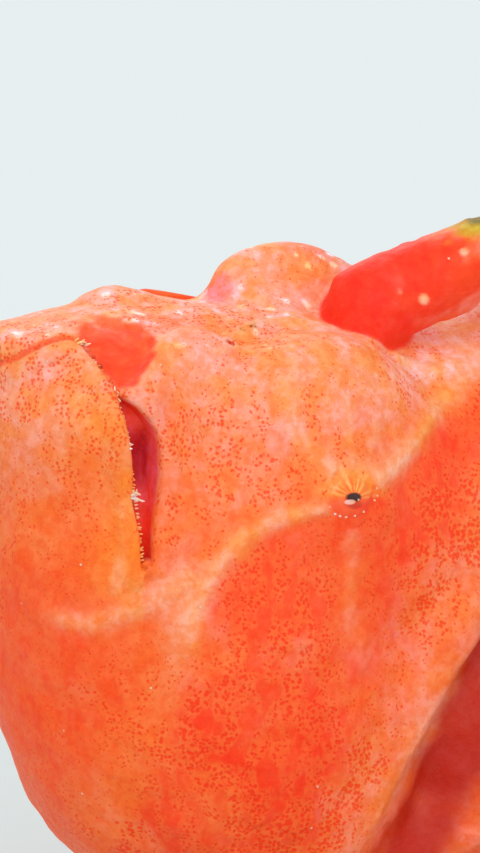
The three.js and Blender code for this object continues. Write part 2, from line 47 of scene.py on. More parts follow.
# The planes of the skin's grid, as runs of even steps: finer round the head
GRID = (
    ((-134.0, -50.0, 0.85), (-50.0, 94.0, 1.5)),
    ((-70.0, -36.0, 1.5), (-36.0, 36.0, 0.95), (36.0, 70.0, 1.5)),
    ((2.0, 26.0, 1.4), (26.0, 142.0, 0.95)),
)


# Small helpers


def smoothstep(lo, hi, value):
    t = np.clip((value - lo) / (hi - lo), 0.0, 1.0)
    return t * t * (3.0 - 2.0 * t)


def mix(a, b, t):
    return a + (b - a) * t


def bump(value, width):
    """A smooth hump: 1 at 0, falling to nearly nothing at twice the width."""
    return np.exp(-((value / width) ** 2))


def linear(red, green, blue):
    """A colour as a screen shows it, from 0 to 255, as light."""
    screen = np.array([red, green, blue]) / 255.0
    return np.where(screen < 0.04045, screen / 12.92, ((screen + 0.055) / 1.055) ** 2.4)


def lattice(i, j, k, seed):
    """A random number from -1 to 1 for each whole-numbered place."""
    n = (i * 374761393 + j * 668265263 + k * 1440662683 + seed * 974634777) & 0xFFFFFFFF
    n = ((n ^ (n >> 13)) * 1274126177) & 0xFFFFFFFF
    return ((n ^ (n >> 16)) & 0xFFFF) / 32767.5 - 1.0


def noise(p, size, seed=0):
    """Smooth noise from -1 to 1, with lumps about size across."""
    whole, part = zip(*((np.floor(c / size).astype(np.int64), (c / size) % 1.0) for c in p))
    ease = [t * t * (3.0 - 2.0 * t) for t in part]
    total = 0.0
    for corner in range(8):
        bits = (corner >> 2, (corner >> 1) & 1, corner & 1)
        weight = 1.0
        for bit, t in zip(bits, ease):
            weight = weight * (t if bit else 1.0 - t)
        total = total + weight * lattice(*(w + bit for w, bit in zip(whole, bits)), seed)
    return total


def search(lo, hi, is_inside, passes=24):
    """The place between lo, inside the flesh, and hi, outside it, where its surface lies."""
    for _ in range(passes):
        middle = (lo + hi) / 2.0
        held = is_inside(middle)
        lo, hi = np.where(held, middle, lo), np.where(held, hi, middle)
    return lo


def mirrored(vector, side):
    return np.array([vector[0], side * vector[1], vector[2]])


def spline(points, count):
    """Evenly counted points on a smooth curve through points."""
    points = np.array(points, float)
    ends = np.vstack([points[:1], points, points[-1:]])
    out = []
    for u in np.linspace(0.0, len(points) - 1.0, count):
        n = min(int(u), len(points) - 2)
        t = u - n
        a, b, c, d = ends[n : n + 4]
        out.append(b + 0.5 * t * (c - a + t * (2 * a - 5 * b + 4 * c - d + t * (3 * (b - c) + d - a))))
    return np.array(out)


def to_line(p, line):
    """Distance from each place to an open line, and the share of the way along it."""
    best = np.full(p[0].shape, np.inf)
    share = np.zeros(p[0].shape)
    for n, (a, b) in enumerate(zip(line[:-1], line[1:])):
        along = b - a
        away = [c - a[i] for i, c in enumerate(p)]
        t = np.clip(sum(w * along[i] for i, w in enumerate(away)) / (along @ along), 0.0, 1.0)
        d = sum((w - t * along[i]) ** 2 for i, w in enumerate(away))
        nearer = d < best
        best = np.where(nearer, d, best)
        share = np.where(nearer, (n + t) / (len(line) - 1), share)
    return np.sqrt(best), share


def inside(x, z, outline):
    """Whether each place in a side view lies inside a closed outline."""
    odd = np.zeros(x.shape, bool)
    for (ax, az), (bx, bz) in zip(outline, np.roll(outline, -1, axis=0)):
        if az == bz:
            continue
        crosses = (az > z) != (bz > z)
        odd ^= crosses & (x < ax + (z - az) * (bx - ax) / (bz - az))
    return odd


# The flesh: the solids' smooth union, but for the third spine, which lies up to 1.2 mm lower here


def join(a, b, k):
    """Smooth union of two distances, with a fillet about k wide."""
    h = np.maximum(k - np.abs(a - b), 0.0) / k
    return np.minimum(a, b) - h * h * k / 4.0


def cut(a, b, k):
    """Distance a with the inside of b taken away."""
    return -join(-a, b, k)


def ellipsoid(p, centre, radii, pitch=0.0):
    """Distance to an ellipsoid whose +X end is tipped up by pitch degrees."""
    c, s = math.cos(math.radians(pitch)), math.sin(math.radians(pitch))
    dx, dy, dz = (p[i] - centre[i] for i in range(3))
    turned = (c * dx + s * dz, dy, c * dz - s * dx)
    k0 = np.sqrt(sum((t / r) ** 2 for t, r in zip(turned, radii)))
    k1 = np.sqrt(sum((t / (r * r)) ** 2 for t, r in zip(turned, radii)))
    return k0 * (k0 - 1.0) / np.maximum(k1, 1e-6)


def limb(p, a, b, ra, rb):
    """Distance to a limb that tapers from radius ra at a to rb at b."""
    along = [b[i] - a[i] for i in range(3)]
    away = [p[i] - a[i] for i in range(3)]
    t = np.clip(sum(u * v for u, v in zip(away, along)) / sum(u * u for u in along), 0.0, 1.0)
    off = np.sqrt(sum((u - t * v) ** 2 for u, v in zip(away, along)))
    return off - mix(ra, rb, t)


THIRD_SPINE = ((-60.7, -13.5, 120.9), (-40, -18.8, 129.8), 7.7, 6.6)
MIDLINE = [
    (ellipsoid, ((-14, 0, 67), (64, 34, BACK_Z - 67)), 1),
    (ellipsoid, ((-12, 0, 43), (50, 36, 36)), 14),
    (ellipsoid, ((28, 0, 77), (48, 24, 35)), 16),
    (ellipsoid, ((66, 0, 77), (23, 8, 13.5)), 12),
    (ellipsoid, ((-72, 0, 82), (40, 33, 36)), 12),
    (ellipsoid, ((-72, 0, 99), (40, 20, 23)), 7),
    (ellipsoid, ((-97, 0, 103), (26, 24, 19.4)), 6),
    (ellipsoid, ((-109, 0, 102), (19.5, 26.5, 18)), 4),
    (ellipsoid, ((-104, 0, 80), (23, 27, 38)), 6),
    (ellipsoid, ((-90, 0, 52), (30, 30, 33)), 12),
    (limb, ((-22, 0, 119), (66, 0, 97), 6, 4), 12),
    (limb, ((24, 0, 32), (64, 0, 60), 6, 4), 12),
    (ellipsoid, ((-115, 0, 114.6), (13, 16, 5.2)), 3),
    (ellipsoid, ((-103, 0, 120), (6, 5, 4.2)), 3),
    (ellipsoid, ((-72, 0, 122), (13.5, 5.6, 10)), 4),
    (ellipsoid, ((-61, 0, 120), (13, 4, 8), -14), 5),
    (limb, THIRD_SPINE, 2.2),
]
PAIRED = [
    (ellipsoid, ((-81, 14, 52), (30, 21, 32), 8), 3.5),
    (limb, ((-51, 27, 67), (-74, 25, 31), 4.5, 4.5), 6),
    (ellipsoid, ((-86, 20, 74), (20, 12, 22)), 9),
    (limb, ((-102, 24, 82), (-101.5, 21.5, 103), 4, 4.2), 3),
    (limb, ((-107.5, 22.3, 106.5), (-95, 18.5, 114), 3.4, 3.5), 3),
    (ellipsoid, ((-76, 22, 104), (17, 9, 12)), 8),
    (ellipsoid, ((EYE["x"], 28, EYE["z"]), (9, 6.5, 8.5)), 5),
    (limb, ((-8, 27, 48), (4, 44, 29), 17, 12.5), 12),
    (limb, ((4, 44, 29), WRIST, 12.5, 9), 5),
    (limb, ((-55, 14, 26), ANKLE, 11, 6.6), 7),
]
# The fold behind the free edge of each branchial bag, cut from the flesh
BAG_FOLD = (((-44.5, 31, 66), (-67, 31, 29), 3, 3), 2)


def sway_at(x):
    t = np.maximum(x - SWAY["from"], 0.0) / SWAY["length"]
    return SWAY["by"] * t * t


def stride_at(y):
    return STRIDE["by"] * np.sign(y) * smoothstep(STRIDE["from"], STRIDE["to"], np.abs(y))


def straight(p):
    """A place in the fish before it sways, and the same place folded to its right side."""
    x, y, z = p
    y = y - sway_at(x)
    return (x, y, z), (x - stride_at(y), np.abs(y), z)


def flesh(p):
    whole, folded = straight(p)
    d = np.full(p[0].shape, np.inf, p[0].dtype)
    for make, sizes, k in MIDLINE:
        d = join(d, make(whole, *sizes), k) if np.isfinite(d.flat[0]) else make(whole, *sizes)
    for make, sizes, k in PAIRED:
        d = join(d, make(folded, *sizes), k)
    sizes, k = BAG_FOLD
    return cut(d, limb(folded, *sizes), k)


# Mouth, eyes, nostrils and gill pores

RIM = spline([
    (-109.4, 79), (-109.8, 88), (-111.6, 99), (-113.4, 108), (-116.2, 116), (-121.6, 116), (-127, 112),
], 33)
# The mouth stands open below its shoulder, between the rim and the gum. Above it is a crease
SHOULDER = int(np.argmax(RIM[:, 1] > 107.6))
GUM = spline([
    (-108.2, 80), (-107.4, 88), (-106.2, 95), (-106.8, 101.4), (-109.8, 105.4), (-113.2, 107.9),
], 33)
OPENING = np.vstack([RIM[:SHOULDER], GUM[::-1]])
LIP_LINE = np.vstack([RIM[SHOULDER - 2:], [(-140, 104.4)]])
LIP_CREASE = {"half": 0.4, "deep": 0.35}
JAW = np.vstack([RIM, [(-160, 104), (-160, 40), (-109.4, 40)]])
MOUTH_BOX = ((-132, -96), (72, 126))
# The mouth's floor lies this deep, and deeper in a pit round one height. In the solids it is
# 14 to 17 deep. Here it is shallow, so that its pink wall catches the light
MOUTH_DEPTH = {"floor": 2.8, "pit": 6.5, "height": 97.0, "half": 6.0}
LOWER_LIP = {"ahead": 1.5, "sunk": 1.0, "radius": 2.0, "k": 1.4}
UPPER_LIP = {"ahead": 1.3, "sunk": 1.1, "radius": 1.7, "k": 1.6}
NOSTRILS = ((-91.0, 115.0), (-84.0, 117.0))
GILL_PORE = (26.0, 38.0)
# A pore's raised ring and its hole: how far they reach, their radii, heights and fillets
PORE = {
    "reach": 5, "ring": 2.4, "thick": 1.1, "up": 0, "ring_k": 0.8, "hole": 1.5, "down": 0.4, "hole_k": 0.6,
}
NOSTRIL = {
    "reach": 4, "ring": 1.2, "thick": 0.7, "up": 0.3, "ring_k": 0.6, "hole": 0.9, "down": 0, "hole_k": 0.4,
}


def slope(p, field, h=0.15):
    """The way each place faces, as a unit vector, and how fast the field rises there."""
    rise = []
    for axis in range(3):
        ends = [field(tuple(c + way * h * (i == axis) for i, c in enumerate(p))) for way in (1, -1)]
        rise.append((ends[0] - ends[1]) / (2 * h))
    size = np.sqrt(sum(r * r for r in rise)) + 1e-9
    return [r / size for r in rise], size


def skin_at(x, z):
    """The right side's skin at x and z: the point, without sway, and the way it faces."""
    unswayed = lambda p: flesh((p[0], p[1] + sway_at(p[0]), p[2]))
    holds = lambda y: unswayed(tuple(np.array([c]) for c in (x, y, z)))[0] < 0
    point = np.array([x, search(0.0, WIDEST, holds, 30), z])
    way, _ = slope(tuple(point[:, None]), unswayed, 0.3)
    return point, np.ravel(way)


def round_axis(p, point, out):
    """How far each place stands off the skin along an axis, and how far it is from that axis."""
    away = [c - point[i] for i, c in enumerate(p)]
    height = sum(w * out[i] for i, w in enumerate(away))
    off = np.sqrt(np.maximum(sum(w * w for w in away) - height * height, 0.0))
    return height, off


# The eye is a low dome: half its length and height, its bulge, and how deep its middle lies
DOME = {"u": 4.5, "v": 4.2, "w": 2.2, "sunk": 1.6}
EYE_SPOT = skin_at(EYE["x"], EYE["z"])
NOSTRIL_SPOTS = [skin_at(x, z) for x, z in NOSTRILS]
PORE_SPOT = skin_at(*GILL_PORE)


def eye_axes(side):
    """The eye's place on the skin, and the ways towards the tail, up and out."""
    point, out = (mirrored(v, side) for v in EYE_SPOT)
    up = np.array([0.0, 0.0, 1.0]) - out[2] * out
    up /= np.linalg.norm(up)
    return point, np.cross(up, out) * -side, up, out


def within(p, lo, hi):
    return np.logical_and.reduce([(c > a) & (c < b) for c, a, b in zip(p, lo, hi)])


def open_mouth(d, p):
    """The flesh with a lip along each edge of the mouth and the opening between them."""
    x, _, z = p
    rim, _ = to_line((x, z), RIM)
    gum, _ = to_line((x, z), GUM)
    in_gap = inside(x, z, OPENING)
    in_jaw = inside(x, z, JAW)
    on_rim = np.where(in_jaw, rim, -rim)
    on_gum = np.where(in_jaw | in_gap, -gum, gum)
    for along, lip in ((on_rim, LOWER_LIP), (on_gum, UPPER_LIP)):
        roll = np.hypot(d + lip["sunk"], along - lip["ahead"]) - lip["radius"]
        d = join(d, roll, lip["k"])
    gap = np.minimum(rim, gum) * np.where(in_gap, -1.0, 1.0)
    deep = mix(MOUTH_DEPTH["floor"], MOUTH_DEPTH["pit"], bump(z - MOUTH_DEPTH["height"], MOUTH_DEPTH["half"]))
    return cut(d, np.maximum(gap, -d - deep), 0.7)


def skin(p):
    """Distance to the skin with its mouth, nostrils and gill pores."""
    d = flesh(p)
    _, folded = straight(p)
    spot = within((p[0], p[2]), *zip(*MOUTH_BOX))
    d[spot] = open_mouth(d[spot], tuple(c[spot] for c in p))
    for (point, out), size in [(PORE_SPOT, PORE)] + [(s, NOSTRIL) for s in NOSTRIL_SPOTS]:
        spot = within(folded, point - size["reach"], point + size["reach"])
        height, off = round_axis(tuple(c[spot] for c in folded), point, out)
        ring = np.hypot(off - size["ring"], height - size["up"]) - size["thick"]
        hole = np.hypot(height + size["down"], off) - size["hole"]
        d[spot] = cut(join(d[spot], ring, size["ring_k"]), hole, size["hole_k"])
    return d


def settle(points, field, passes=2):
    for _ in range(passes):
        p = tuple(points.T)
        way, size = slope(p, field)
        step = np.clip(-field(p) / np.maximum(size, 0.3), -1.0, 1.0)
        points = points + np.stack([w * step for w in way], axis=1)
    return points


# The skin's mesh: a net of four-sided faces, one corner in each grid cell that the surface crosses


def planes(runs):
    """The grid's planes along one axis, from runs of a start, an end and a step."""
    parts = [np.linspace(lo, hi, round((hi - lo) / step), endpoint=False) for lo, hi, step in runs]
    return np.concatenate([*parts, [runs[-1][1]]]).astype(np.float32)


def surface_net(field, grid):
    axes = [planes(runs) for runs in grid]
    shape = tuple(len(a) for a in axes)
    value = np.empty(shape, np.float32)
    slab = 16
    for first in range(0, shape[0], slab):
        x, y, z = np.meshgrid(axes[0][first : first + slab], axes[1], axes[2], indexing="ij")
        value[first : first + slab] = field((x.ravel(), y.ravel(), z.ravel())).reshape(x.shape)
    solid = value < 0
    cell = tuple(n - 1 for n in shape)
    corners = [(n >> 2, (n >> 1) & 1, n & 1) for n in range(8)]
    filled = sum(
        solid[i : i + cell[0], j : j + cell[1], k : k + cell[2]].astype(np.int8) for i, j, k in corners
    )
    mixed = (filled > 0) & (filled < 8)
    index = np.full(cell, -1, np.int32)
    index[mixed] = np.arange(mixed.sum())
    cells = np.argwhere(mixed)
    total = np.zeros((len(cells), 3))
    hits = np.zeros(len(cells))
    for corner in corners:
        for axis in range(3):
            if corner[axis]:
                continue
            a = cells + corner
            b = a + np.eye(3, dtype=int)[axis]
            va, vb = value[tuple(a.T)], value[tuple(b.T)]
            crossed = (va < 0) != (vb < 0)
            t = np.where(crossed, va / np.where(crossed, va - vb, 1.0), 0.0)
            total += np.where(crossed[:, None], a + t[:, None] * np.eye(3)[axis], 0.0)
            hits += crossed
    cells_at = total / hits[:, None]
    points = np.stack([np.interp(c, np.arange(len(a)), a) for c, a in zip(cells_at.T, axes)], axis=1)
    faces = []
    for axis in range(3):
        u, v = (axis + 1) % 3, (axis + 2) % 3
        low = [slice(1, -1)] * 3
        low[axis] = slice(0, -1)
        high = list(low)
        high[axis] = slice(1, None)
        a, b = solid[tuple(low)], solid[tuple(high)]
        for rising in (True, False):
            edge = np.argwhere((a != b) & (a == rising))
            edge[:, u] += 1
            edge[:, v] += 1
            unit = np.eye(3, dtype=int)
            around = ((1, 1), (0, 1), (0, 0), (1, 0))
            ring = [edge - du * unit[u] - dv * unit[v] for du, dv in around]
            quad = np.stack([index[tuple(r.T)] for r in ring], axis=1)
            faces.append(quad if rising else quad[:, ::-1])
    return points, np.vstack(faces)


# Relief on the skin: soft ridges with pale crests, partly the skin's own pale bands and partly a painted
# highlight along each top. Each has a height, a half width at its start and end, how pale its crest is, and
# its line on the right side
RIDGES = {
    "eye_down": (0.8, (1.0, 3.6), 0.75, [
        (-78.2, 34.6, 88.6), (-85, 32.8, 87.2), (-90.5, 32, 85.6), (-96, 31.2, 81.3), (-99.9, 30.6, 76),
        (-102, 30.1, 71), (-103.5, 29.5, 64), (-105, 28.5, 55),
    ]),
    "corner": (0.6, (2.6, 1.3), 0.6, [
        (-101.4, 30.2, 78.3), (-104, 29.2, 76.2), (-108.4, 27.3, 73.4), (-111.6, 25.5, 71.6),
        (-114.8, 23.3, 70.2), (-117.3, 21.2, 69.7), (-119.8, 18.6, 70), (-121.9, 16.2, 71.6),
        (-122, 15.8, 74.6),
    ]),
    "eye_back": (0.8, (1.6, 3.6), 0.9, [
        (-71, 34, 92), (-63.8, 30.6, 95.9), (-55.6, 25.6, 102.4), (-49.3, 21, 106.5), (-41.4, 16.1, 111.5),
        (-34, 10, 116),
    ]),
    "eye_up": (0.4, (1.2, 2.2), 0.5, [
        (-77.6, 34, 93.8), (-82.8, 31.1, 99.7), (-84.4, 30, 106.3), (-81.6, 25.7, 114.4),
    ]),
    "ray_middle": (0.15, (0.5, 1.2), 0.35, [
        (-74.6, 34.2, 94.4), (-74.2, 31.8, 101.1), (-73.6, 30.7, 108),
    ]),
    "ray_behind": (0.15, (0.5, 1.2), 0.35, [(-72.4, 34, 94), (-69.5, 31.3, 99.6), (-66, 29.5, 106)]),
    "eye_low": (0.3, (1.5, 3.4), 0.35, [
        (-74.8, 34.7, 85), (-74.4, 33.8, 77.8), (-74.5, 33.4, 70.2), (-72.5, 33.2, 64.2), (-68, 32.8, 56),
    ]),
    "maxilla": (0.9, (1.0, 2.0), 0.6, [
        (-111.4, 25, 107.4), (-109, 24.4, 109), (-105.4, 22.4, 112), (-102, 18.4, 115), (-97, 16.5, 116.8),
        (-92, 14.5, 118),
    ]),
    "jaw": (0.35, (0.8, 1.2), 0.5, [
        (-112.2, 24.6, 90), (-112.3, 25.1, 83), (-113.1, 24.8, 77), (-113, 24.6, 73),
    ]),
    "fold": (1.0, (1.2, 2.0), 0.85, [
        (-88, 17.7, 116.2), (-82, 14.2, 117.8), (-76, 13.2, 118.4), (-70.5, 15, 117.6), (-67, 16, 117),
    ]),
    # Its pale crest is a painted highlight along the brow
    "streak": (0.4, (0.5, 0.8), 0.9, [(-95, 22.4, 114.1), (-89.4, 21.8, 114.6), (-84, 24, 114.4)]),
    "nape": (0.9, (1.5, 2.6), 1.0, [
        (-60, 19.2, 112.6), (-55.4, 18.6, 110.7), (-51, 18.2, 109.8), (-46, 16.6, 110.8),
        (-38, 12.6, 114.4),
    ]),
    "bag": (0.3, (3.4, 3.4), 0.6, [
        (-45, 29, 70), (-50, 30.3, 60), (-57, 30, 50), (-64, 29.5, 41), (-74, 28.5, 30),
    ]),
}
CRESTS = {name: (spline(points, 15), *how) for name, (*how, points) in RIDGES.items()}

# The smooth, deeper face of the upper lip in side view, and how much it is sunk
LIP_FACE = np.array([
    (-113.5, 108.2), (-112.4, 108.3), (-110.4, 108.7), (-107.8, 110.5), (-104.7, 113.2), (-102.8, 116.5),
    (-104.8, 119.2), (-110, 119.9), (-114.8, 118.8), (-116.3, 116.8), (-115.7, 114.6), (-114.5, 111.2),
])
LIP_FACE_SUNK = 0.7


def crests_at(folded):
    """How near each place is to each ridge's crest, from 0 to 1."""
    on_head = folded[0] < -28.0
    head = tuple(c[on_head] for c in folded)
    uneven = 1.0 + 0.3 * noise(head, 4.0, 18)
    near = {}
    for name, (line, _, widths, _) in CRESTS.items():
        d, share = to_line(head, line)
        ends = smoothstep(0.0, 0.04, share) * smoothstep(1.0, 0.7, share)
        near[name] = np.zeros(len(on_head))
        near[name][on_head] = bump(d, mix(*widths, share) * uneven) * ends
    return near


def signed(x, z, outline):
    """How deep each place in a side view lies inside a closed outline, below 0 outside it."""
    d, _ = to_line((x, z), np.vstack([outline, outline[:1]]))
    return np.where(inside(x, z, outline), d, -d)


def from_point(p, place):
    return np.sqrt(sum((c - place[i]) ** 2 for i, c in enumerate(p)))


def from_eye(folded):
    return from_point(folded, EYE_SPOT[0])


def eye_plane(folded):
    """Each place across the right eye: towards the tail and up from its middle."""
    point, ahead, up, _ = eye_axes(1)
    away = [c - point[i] for i, c in enumerate(folded)]
    return sum(a * w for a, w in zip(ahead, away)), sum(a * w for a, w in zip(up, away))


def relief(p, folded, near):
    """How far the skin stands out of the smooth flesh at each place."""
    ridges = np.max([CRESTS[name][1] * crest for name, crest in near.items()], axis=0)
    lumps = 0.5 * noise(p, 11.0, 1) + 0.28 * noise(p, 5.0, 2) + 0.14 * noise(p, 2.2, 3)
    body = smoothstep(-62.0, -30.0, p[0])
    warts = smoothstep(0.55, 0.9, noise(p, 6.0, 4)) * mix(0.3, 1.2, body)
    warts = warts + smoothstep(0.6, 0.9, noise(p, 3.0, 5)) * 0.5 * body
    calm = smoothstep(4.0, 8.0, from_eye(folded))
    face = smoothstep(-0.3, 1.6, signed(p[0], p[2], LIP_FACE))
    line, _ = to_line((p[0], p[2]), LIP_LINE)
    crease = LIP_CREASE["deep"] * bump(line, LIP_CREASE["half"])
    crease = crease * (p[0] < -100.0) * smoothstep(-128.0, -121.0, p[0])
    return ridges + calm * (1.0 - 0.7 * face) * (lumps + warts) - LIP_FACE_SUNK * face - crease


# Paint, worked out for each corner of a mesh

PAINT = {
    "pale": linear(255, 160, 124),
    "orange": linear(255, 106, 42),
    "deep": linear(255, 76, 32),
    "lump": linear(255, 34, 0),
    "lip": linear(255, 60, 6),
    "red": linear(190, 20, 10),
    "line": linear(255, 168, 116),
    "ray": linear(255, 198, 120),
    "pink": linear(255, 94, 98),
    "blush": linear(255, 190, 168),
    "cream": linear(255, 228, 200),
    "yellow": linear(255, 152, 38),
    "gold": linear(214, 172, 40),
    "olive": linear(96, 84, 18),
    "dark": linear(200, 8, 22),
    "pupil": linear(56, 16, 4),
}
# The border in side view between the pale upper head and the deep cheek, from the chin to the nape
BORDER = np.array([
    (-108, 20), (-107.5, 40), (-105.5, 54), (-102.6, 66), (-100, 75), (-96.6, 80.5), (-90.4, 86),
    (-85, 87.6), (-75, 89.5), (-68, 93), (-61.6, 98), (-55, 103), (-44, 109), (-34, 115), (-20, 128),
])
PALE_SIDE = np.vstack([BORDER, [(-20, 200), (-200, 200), (-200, 20)]])
SPINE_TIP = np.array([(-46.0, -20.5, 137.5), (-34.0, -20.5, 135.5)])
SPINE_SPOTS = (((-59.0, -20.6, 123.4), 0.6), ((-55.0, -21.6, 122.4), 0.8), ((-48.0, -23.6, 130.5), 0.6))
HUMP_BASE = (-85.5, -3.0, 124.5)
# A line of painted shade along the crease at the back of each eye, towards the tail and up from its middle
EYE_CREASE_SHADE = np.array([(0.6, -1.7), (2.4, -1.5), (3.6, -0.2), (4.4, 1.6)])
# The recess behind each branchial bag's free edge, where its dark red is painted shade
BEHIND_BAG = ((-42.0, 30.0, 66.0), (-60.0, 29.0, 26.0), 6.0, 8.0)


def blend(paint, *layers):
    """The paint with named paints laid over it in turn, each with its share."""
    for name, share in layers:
        paint = mix(paint, PAINT[name], np.clip(share, 0.0, 1.0)[:, None])
    return paint


def paint_zones(p, folded, soft, body):
    """The pale upper head, the deep cheek, the patches over both and the body's blotches."""
    x, _, z = p
    rim, _ = to_line((x, z), RIM[:SHOULDER])
    beside = inside(x, z, JAW) * within((x, z), (-130, 66), (-100, 108))
    patch = noise(p, 15, 12) + 0.6 * noise(p, 6.5, 13)
    below = smoothstep(1, -3, soft) * (1 - body)
    behind = limb(folded, *BEHIND_BAG)
    nape = smoothstep(104, 112, z) * smoothstep(-66, -58, x) * (1 - body)
    scabs = smoothstep(0.5, 0.8, noise(p, 6, 4)) * body
    return blend(
        np.tile(PAINT["orange"], (len(x), 1)),
        ("deep", smoothstep(1, -3, soft) * mix(0.95, 0.6, body)),
        ("pale", smoothstep(-1, 6, soft) * smoothstep(80, 116, z)),
        ("deep", 0.75 * smoothstep(86, 72, z) * smoothstep(2, 12, soft)),
        ("yellow", 0.5 * bump(rim - 3, 6) * beside),
        ("deep", mix(0.35, 0.8, body) * smoothstep(0.15, 0.9, patch)),
        ("pale", mix(0.3, 0.5, body) * smoothstep(-0.25, -0.95, patch)),
        ("lump", 0.55 * below * smoothstep(-0.2, 0.7, noise(p, 9, 27))),
        ("orange", 0.5 * below * smoothstep(0.1, 0.7, noise(p, 7, 28))),
        ("line", 0.35 * smoothstep(17, 4, behind + 4 * noise(p, 8, 30))),
        ("blush", 0.5 * nape),
        ("blush", 0.45 * scabs),
        ("red", 0.6 * smoothstep(0.45, 0.85, noise(p, 10, 15)) * body),
    )


def paint_round_eye(paint, folded):
    """The glow above the eye, the fine rays that leave it and a line of painted shade along the crease at its
    back.
    """
    u, v = eye_plane(folded)
    r = np.hypot(u, v)
    turn = np.arctan2(v, u)
    upper = smoothstep(-0.8, 1, v)
    streak = smoothstep(-0.3, 0.9, np.cos(turn * 17 + 1.4 * np.sin(5 * turn)))
    reach = 5 + 2 * np.sin(7 * turn + 1)
    crease, _ = to_line((u, v), EYE_CREASE_SHADE)
    return blend(
        paint,
        ("yellow", 0.75 * upper * smoothstep(9, 2, r)),
        ("deep", 0.6 * smoothstep(0.6, -1.2, v) * smoothstep(6, 4, r)),
        ("lip", 0.4 * (1 - streak) * upper * smoothstep(4.5, 2, r)),
        ("ray", 0.45 * streak * upper * smoothstep(reach, reach - 3.5, r)),
        # Painted shade along the crease at the eye's back
        ("lump", 0.5 * smoothstep(0.5, 0.1, crease)),
    )


def paint_snout(paint, p, near, face):
    """The pale crests, partly painted highlights, the painted highlights on top of the snout, the hump's base
    and the lip's red face.
    """
    x, y, z = p
    snout_highlight = smoothstep(112, 119, z) * smoothstep(-52, -62, x)
    hump = from_point(p, HUMP_BASE)
    streaks = smoothstep(-0.4, 0.6, noise((x, y, 0.4 * z), 1.6, 25))
    line, _ = to_line((x, z), LIP_LINE)
    return blend(
        paint,
        # Pale crests, partly the skin's own bands and partly a painted highlight along each ridge
        *(("line", CRESTS[name][3] * near_crest) for name, near_crest in near.items()),
        ("blush", 0.6 * near["nape"]),
        # Painted highlights: pale blotches and cream flecks on top of the snout
        ("blush", 0.5 * snout_highlight * smoothstep(0.1, 0.7, noise(p, 3.4, 19))),
        ("cream", 0.9 * snout_highlight * smoothstep(0.55, 0.75, noise(p, 1.8, 23))),
        ("blush", 0.2 * smoothstep(14, 9, hump)),
        ("pink", 0.6 * smoothstep(4.5, 2, hump)),
        ("lip", mix(0.5, 0.95, smoothstep(121, 116, z)) * face),
        ("orange", mix(0.25, 0.9, smoothstep(-109, -102, x)) * face * streaks),
        ("lip", 0.7 * smoothstep(0.5, 0.2, line) * (x < -100)),
    )


def paint_mouth(paint, z, depth, mouth):
    """The pink wall of the mouth, red at its ends, with painted shade in its pit."""
    ends = np.maximum(smoothstep(92, 86, z), smoothstep(102, 105.5, z))
    return blend(
        paint,
        ("pink", smoothstep(-0.5, -1.4, depth) * mouth),
        ("lip", 0.8 * smoothstep(-0.8, -1.6, depth) * mouth * ends),
        # Painted shade: dark red in the mouth's deep pit
        ("dark", 0.8 * smoothstep(-3.8, -6, depth) * mouth * (1 - ends)),
    )


def paint_spine(paint, p, spine):
    """The red third spine, mottled towards its golden tip, and its pale spots."""
    along = smoothstep(-59, -46, p[0])
    mottle = smoothstep(-0.2, 0.6, noise(p, 4.2, 22) + 0.4 * noise(p, 1.6, 26))
    tip, _ = to_line(p, SPINE_TIP)
    tip = tip + 2.2 * noise(p, 2.4, 17)
    return blend(
        paint,
        ("lump", 0.97 * spine),
        ("deep", 0.7 * spine * along),
        ("pale", mix(0.1, 0.4, along) * spine * mottle),
        ("gold", 0.9 * smoothstep(6.6, 4.2, tip)),
        ("olive", 0.8 * smoothstep(4.4, 2, tip)),
        *(("blush", smoothstep(size + 0.6, size, from_point(p, place))) for place, size in SPINE_SPOTS),
    )


def paint_skin(p, folded, near):
    """The colour of each place on the skin, and how strongly the fine dots show there."""
    x, _, z = p
    off, _ = to_line((x, z), BORDER)
    above = np.where(inside(x, z, PALE_SIDE), off, -off)
    edge = np.maximum(near["eye_down"], near["eye_back"])
    soft = above + (1 - 0.8 * edge) * (2 * noise(p, 7, 11) + 1.2 * noise(p, 3, 14))
    face = smoothstep(-0.2, 0.7, signed(x, z, LIP_FACE) + 0.5 * noise(p, 2.5, 24))
    depth = flesh(p)
    mouth = within((x, z), *zip(*MOUTH_BOX))
    behind = limb(folded, *BEHIND_BAG)
    spine = smoothstep(1.7, 0.9, limb(p, *THIRD_SPINE) + 0.3 * noise(p, 3, 20))
    paint = paint_zones(p, folded, soft, smoothstep(-50, -25, x))
    paint = paint_round_eye(paint, folded)
    paint = paint_snout(paint, p, near, face)
    paint = paint_mouth(paint, z, depth, mouth)
    # Painted shade: dark red in the recess behind each branchial bag
    paint = blend(paint, ("red", 0.9 * smoothstep(3, -3, behind + 1.2 * noise(p, 4, 16))))
    paint = paint_spine(paint, p, spine)
    crest = np.max(list(near.values()), axis=0)
    dots = mix(0.8, 1, smoothstep(6, -2, above)) * (1 - 0.75 * crest) * (1 - 0.9 * face)
    dots = dots * (1 - 0.85 * spine) * smoothstep(-1.2, -0.4, np.where(mouth, depth, 0))
    # The dots fade out in that painted shade behind each bag
    dots = dots * mix(0.62, 1, smoothstep(-0.5, 0.2, noise(p, 14, 29))) * smoothstep(-1, 9, behind)
    return paint, dots * smoothstep(3.2, 5, from_eye(folded))


# Meshes


ORIGIN = np.array([MIDDLE_X, 0.0, 0.0])


def add_object(name, data):
    thing = bpy.data.objects.new(name, data)
    bpy.context.scene.collection.objects.link(thing)
    return thing


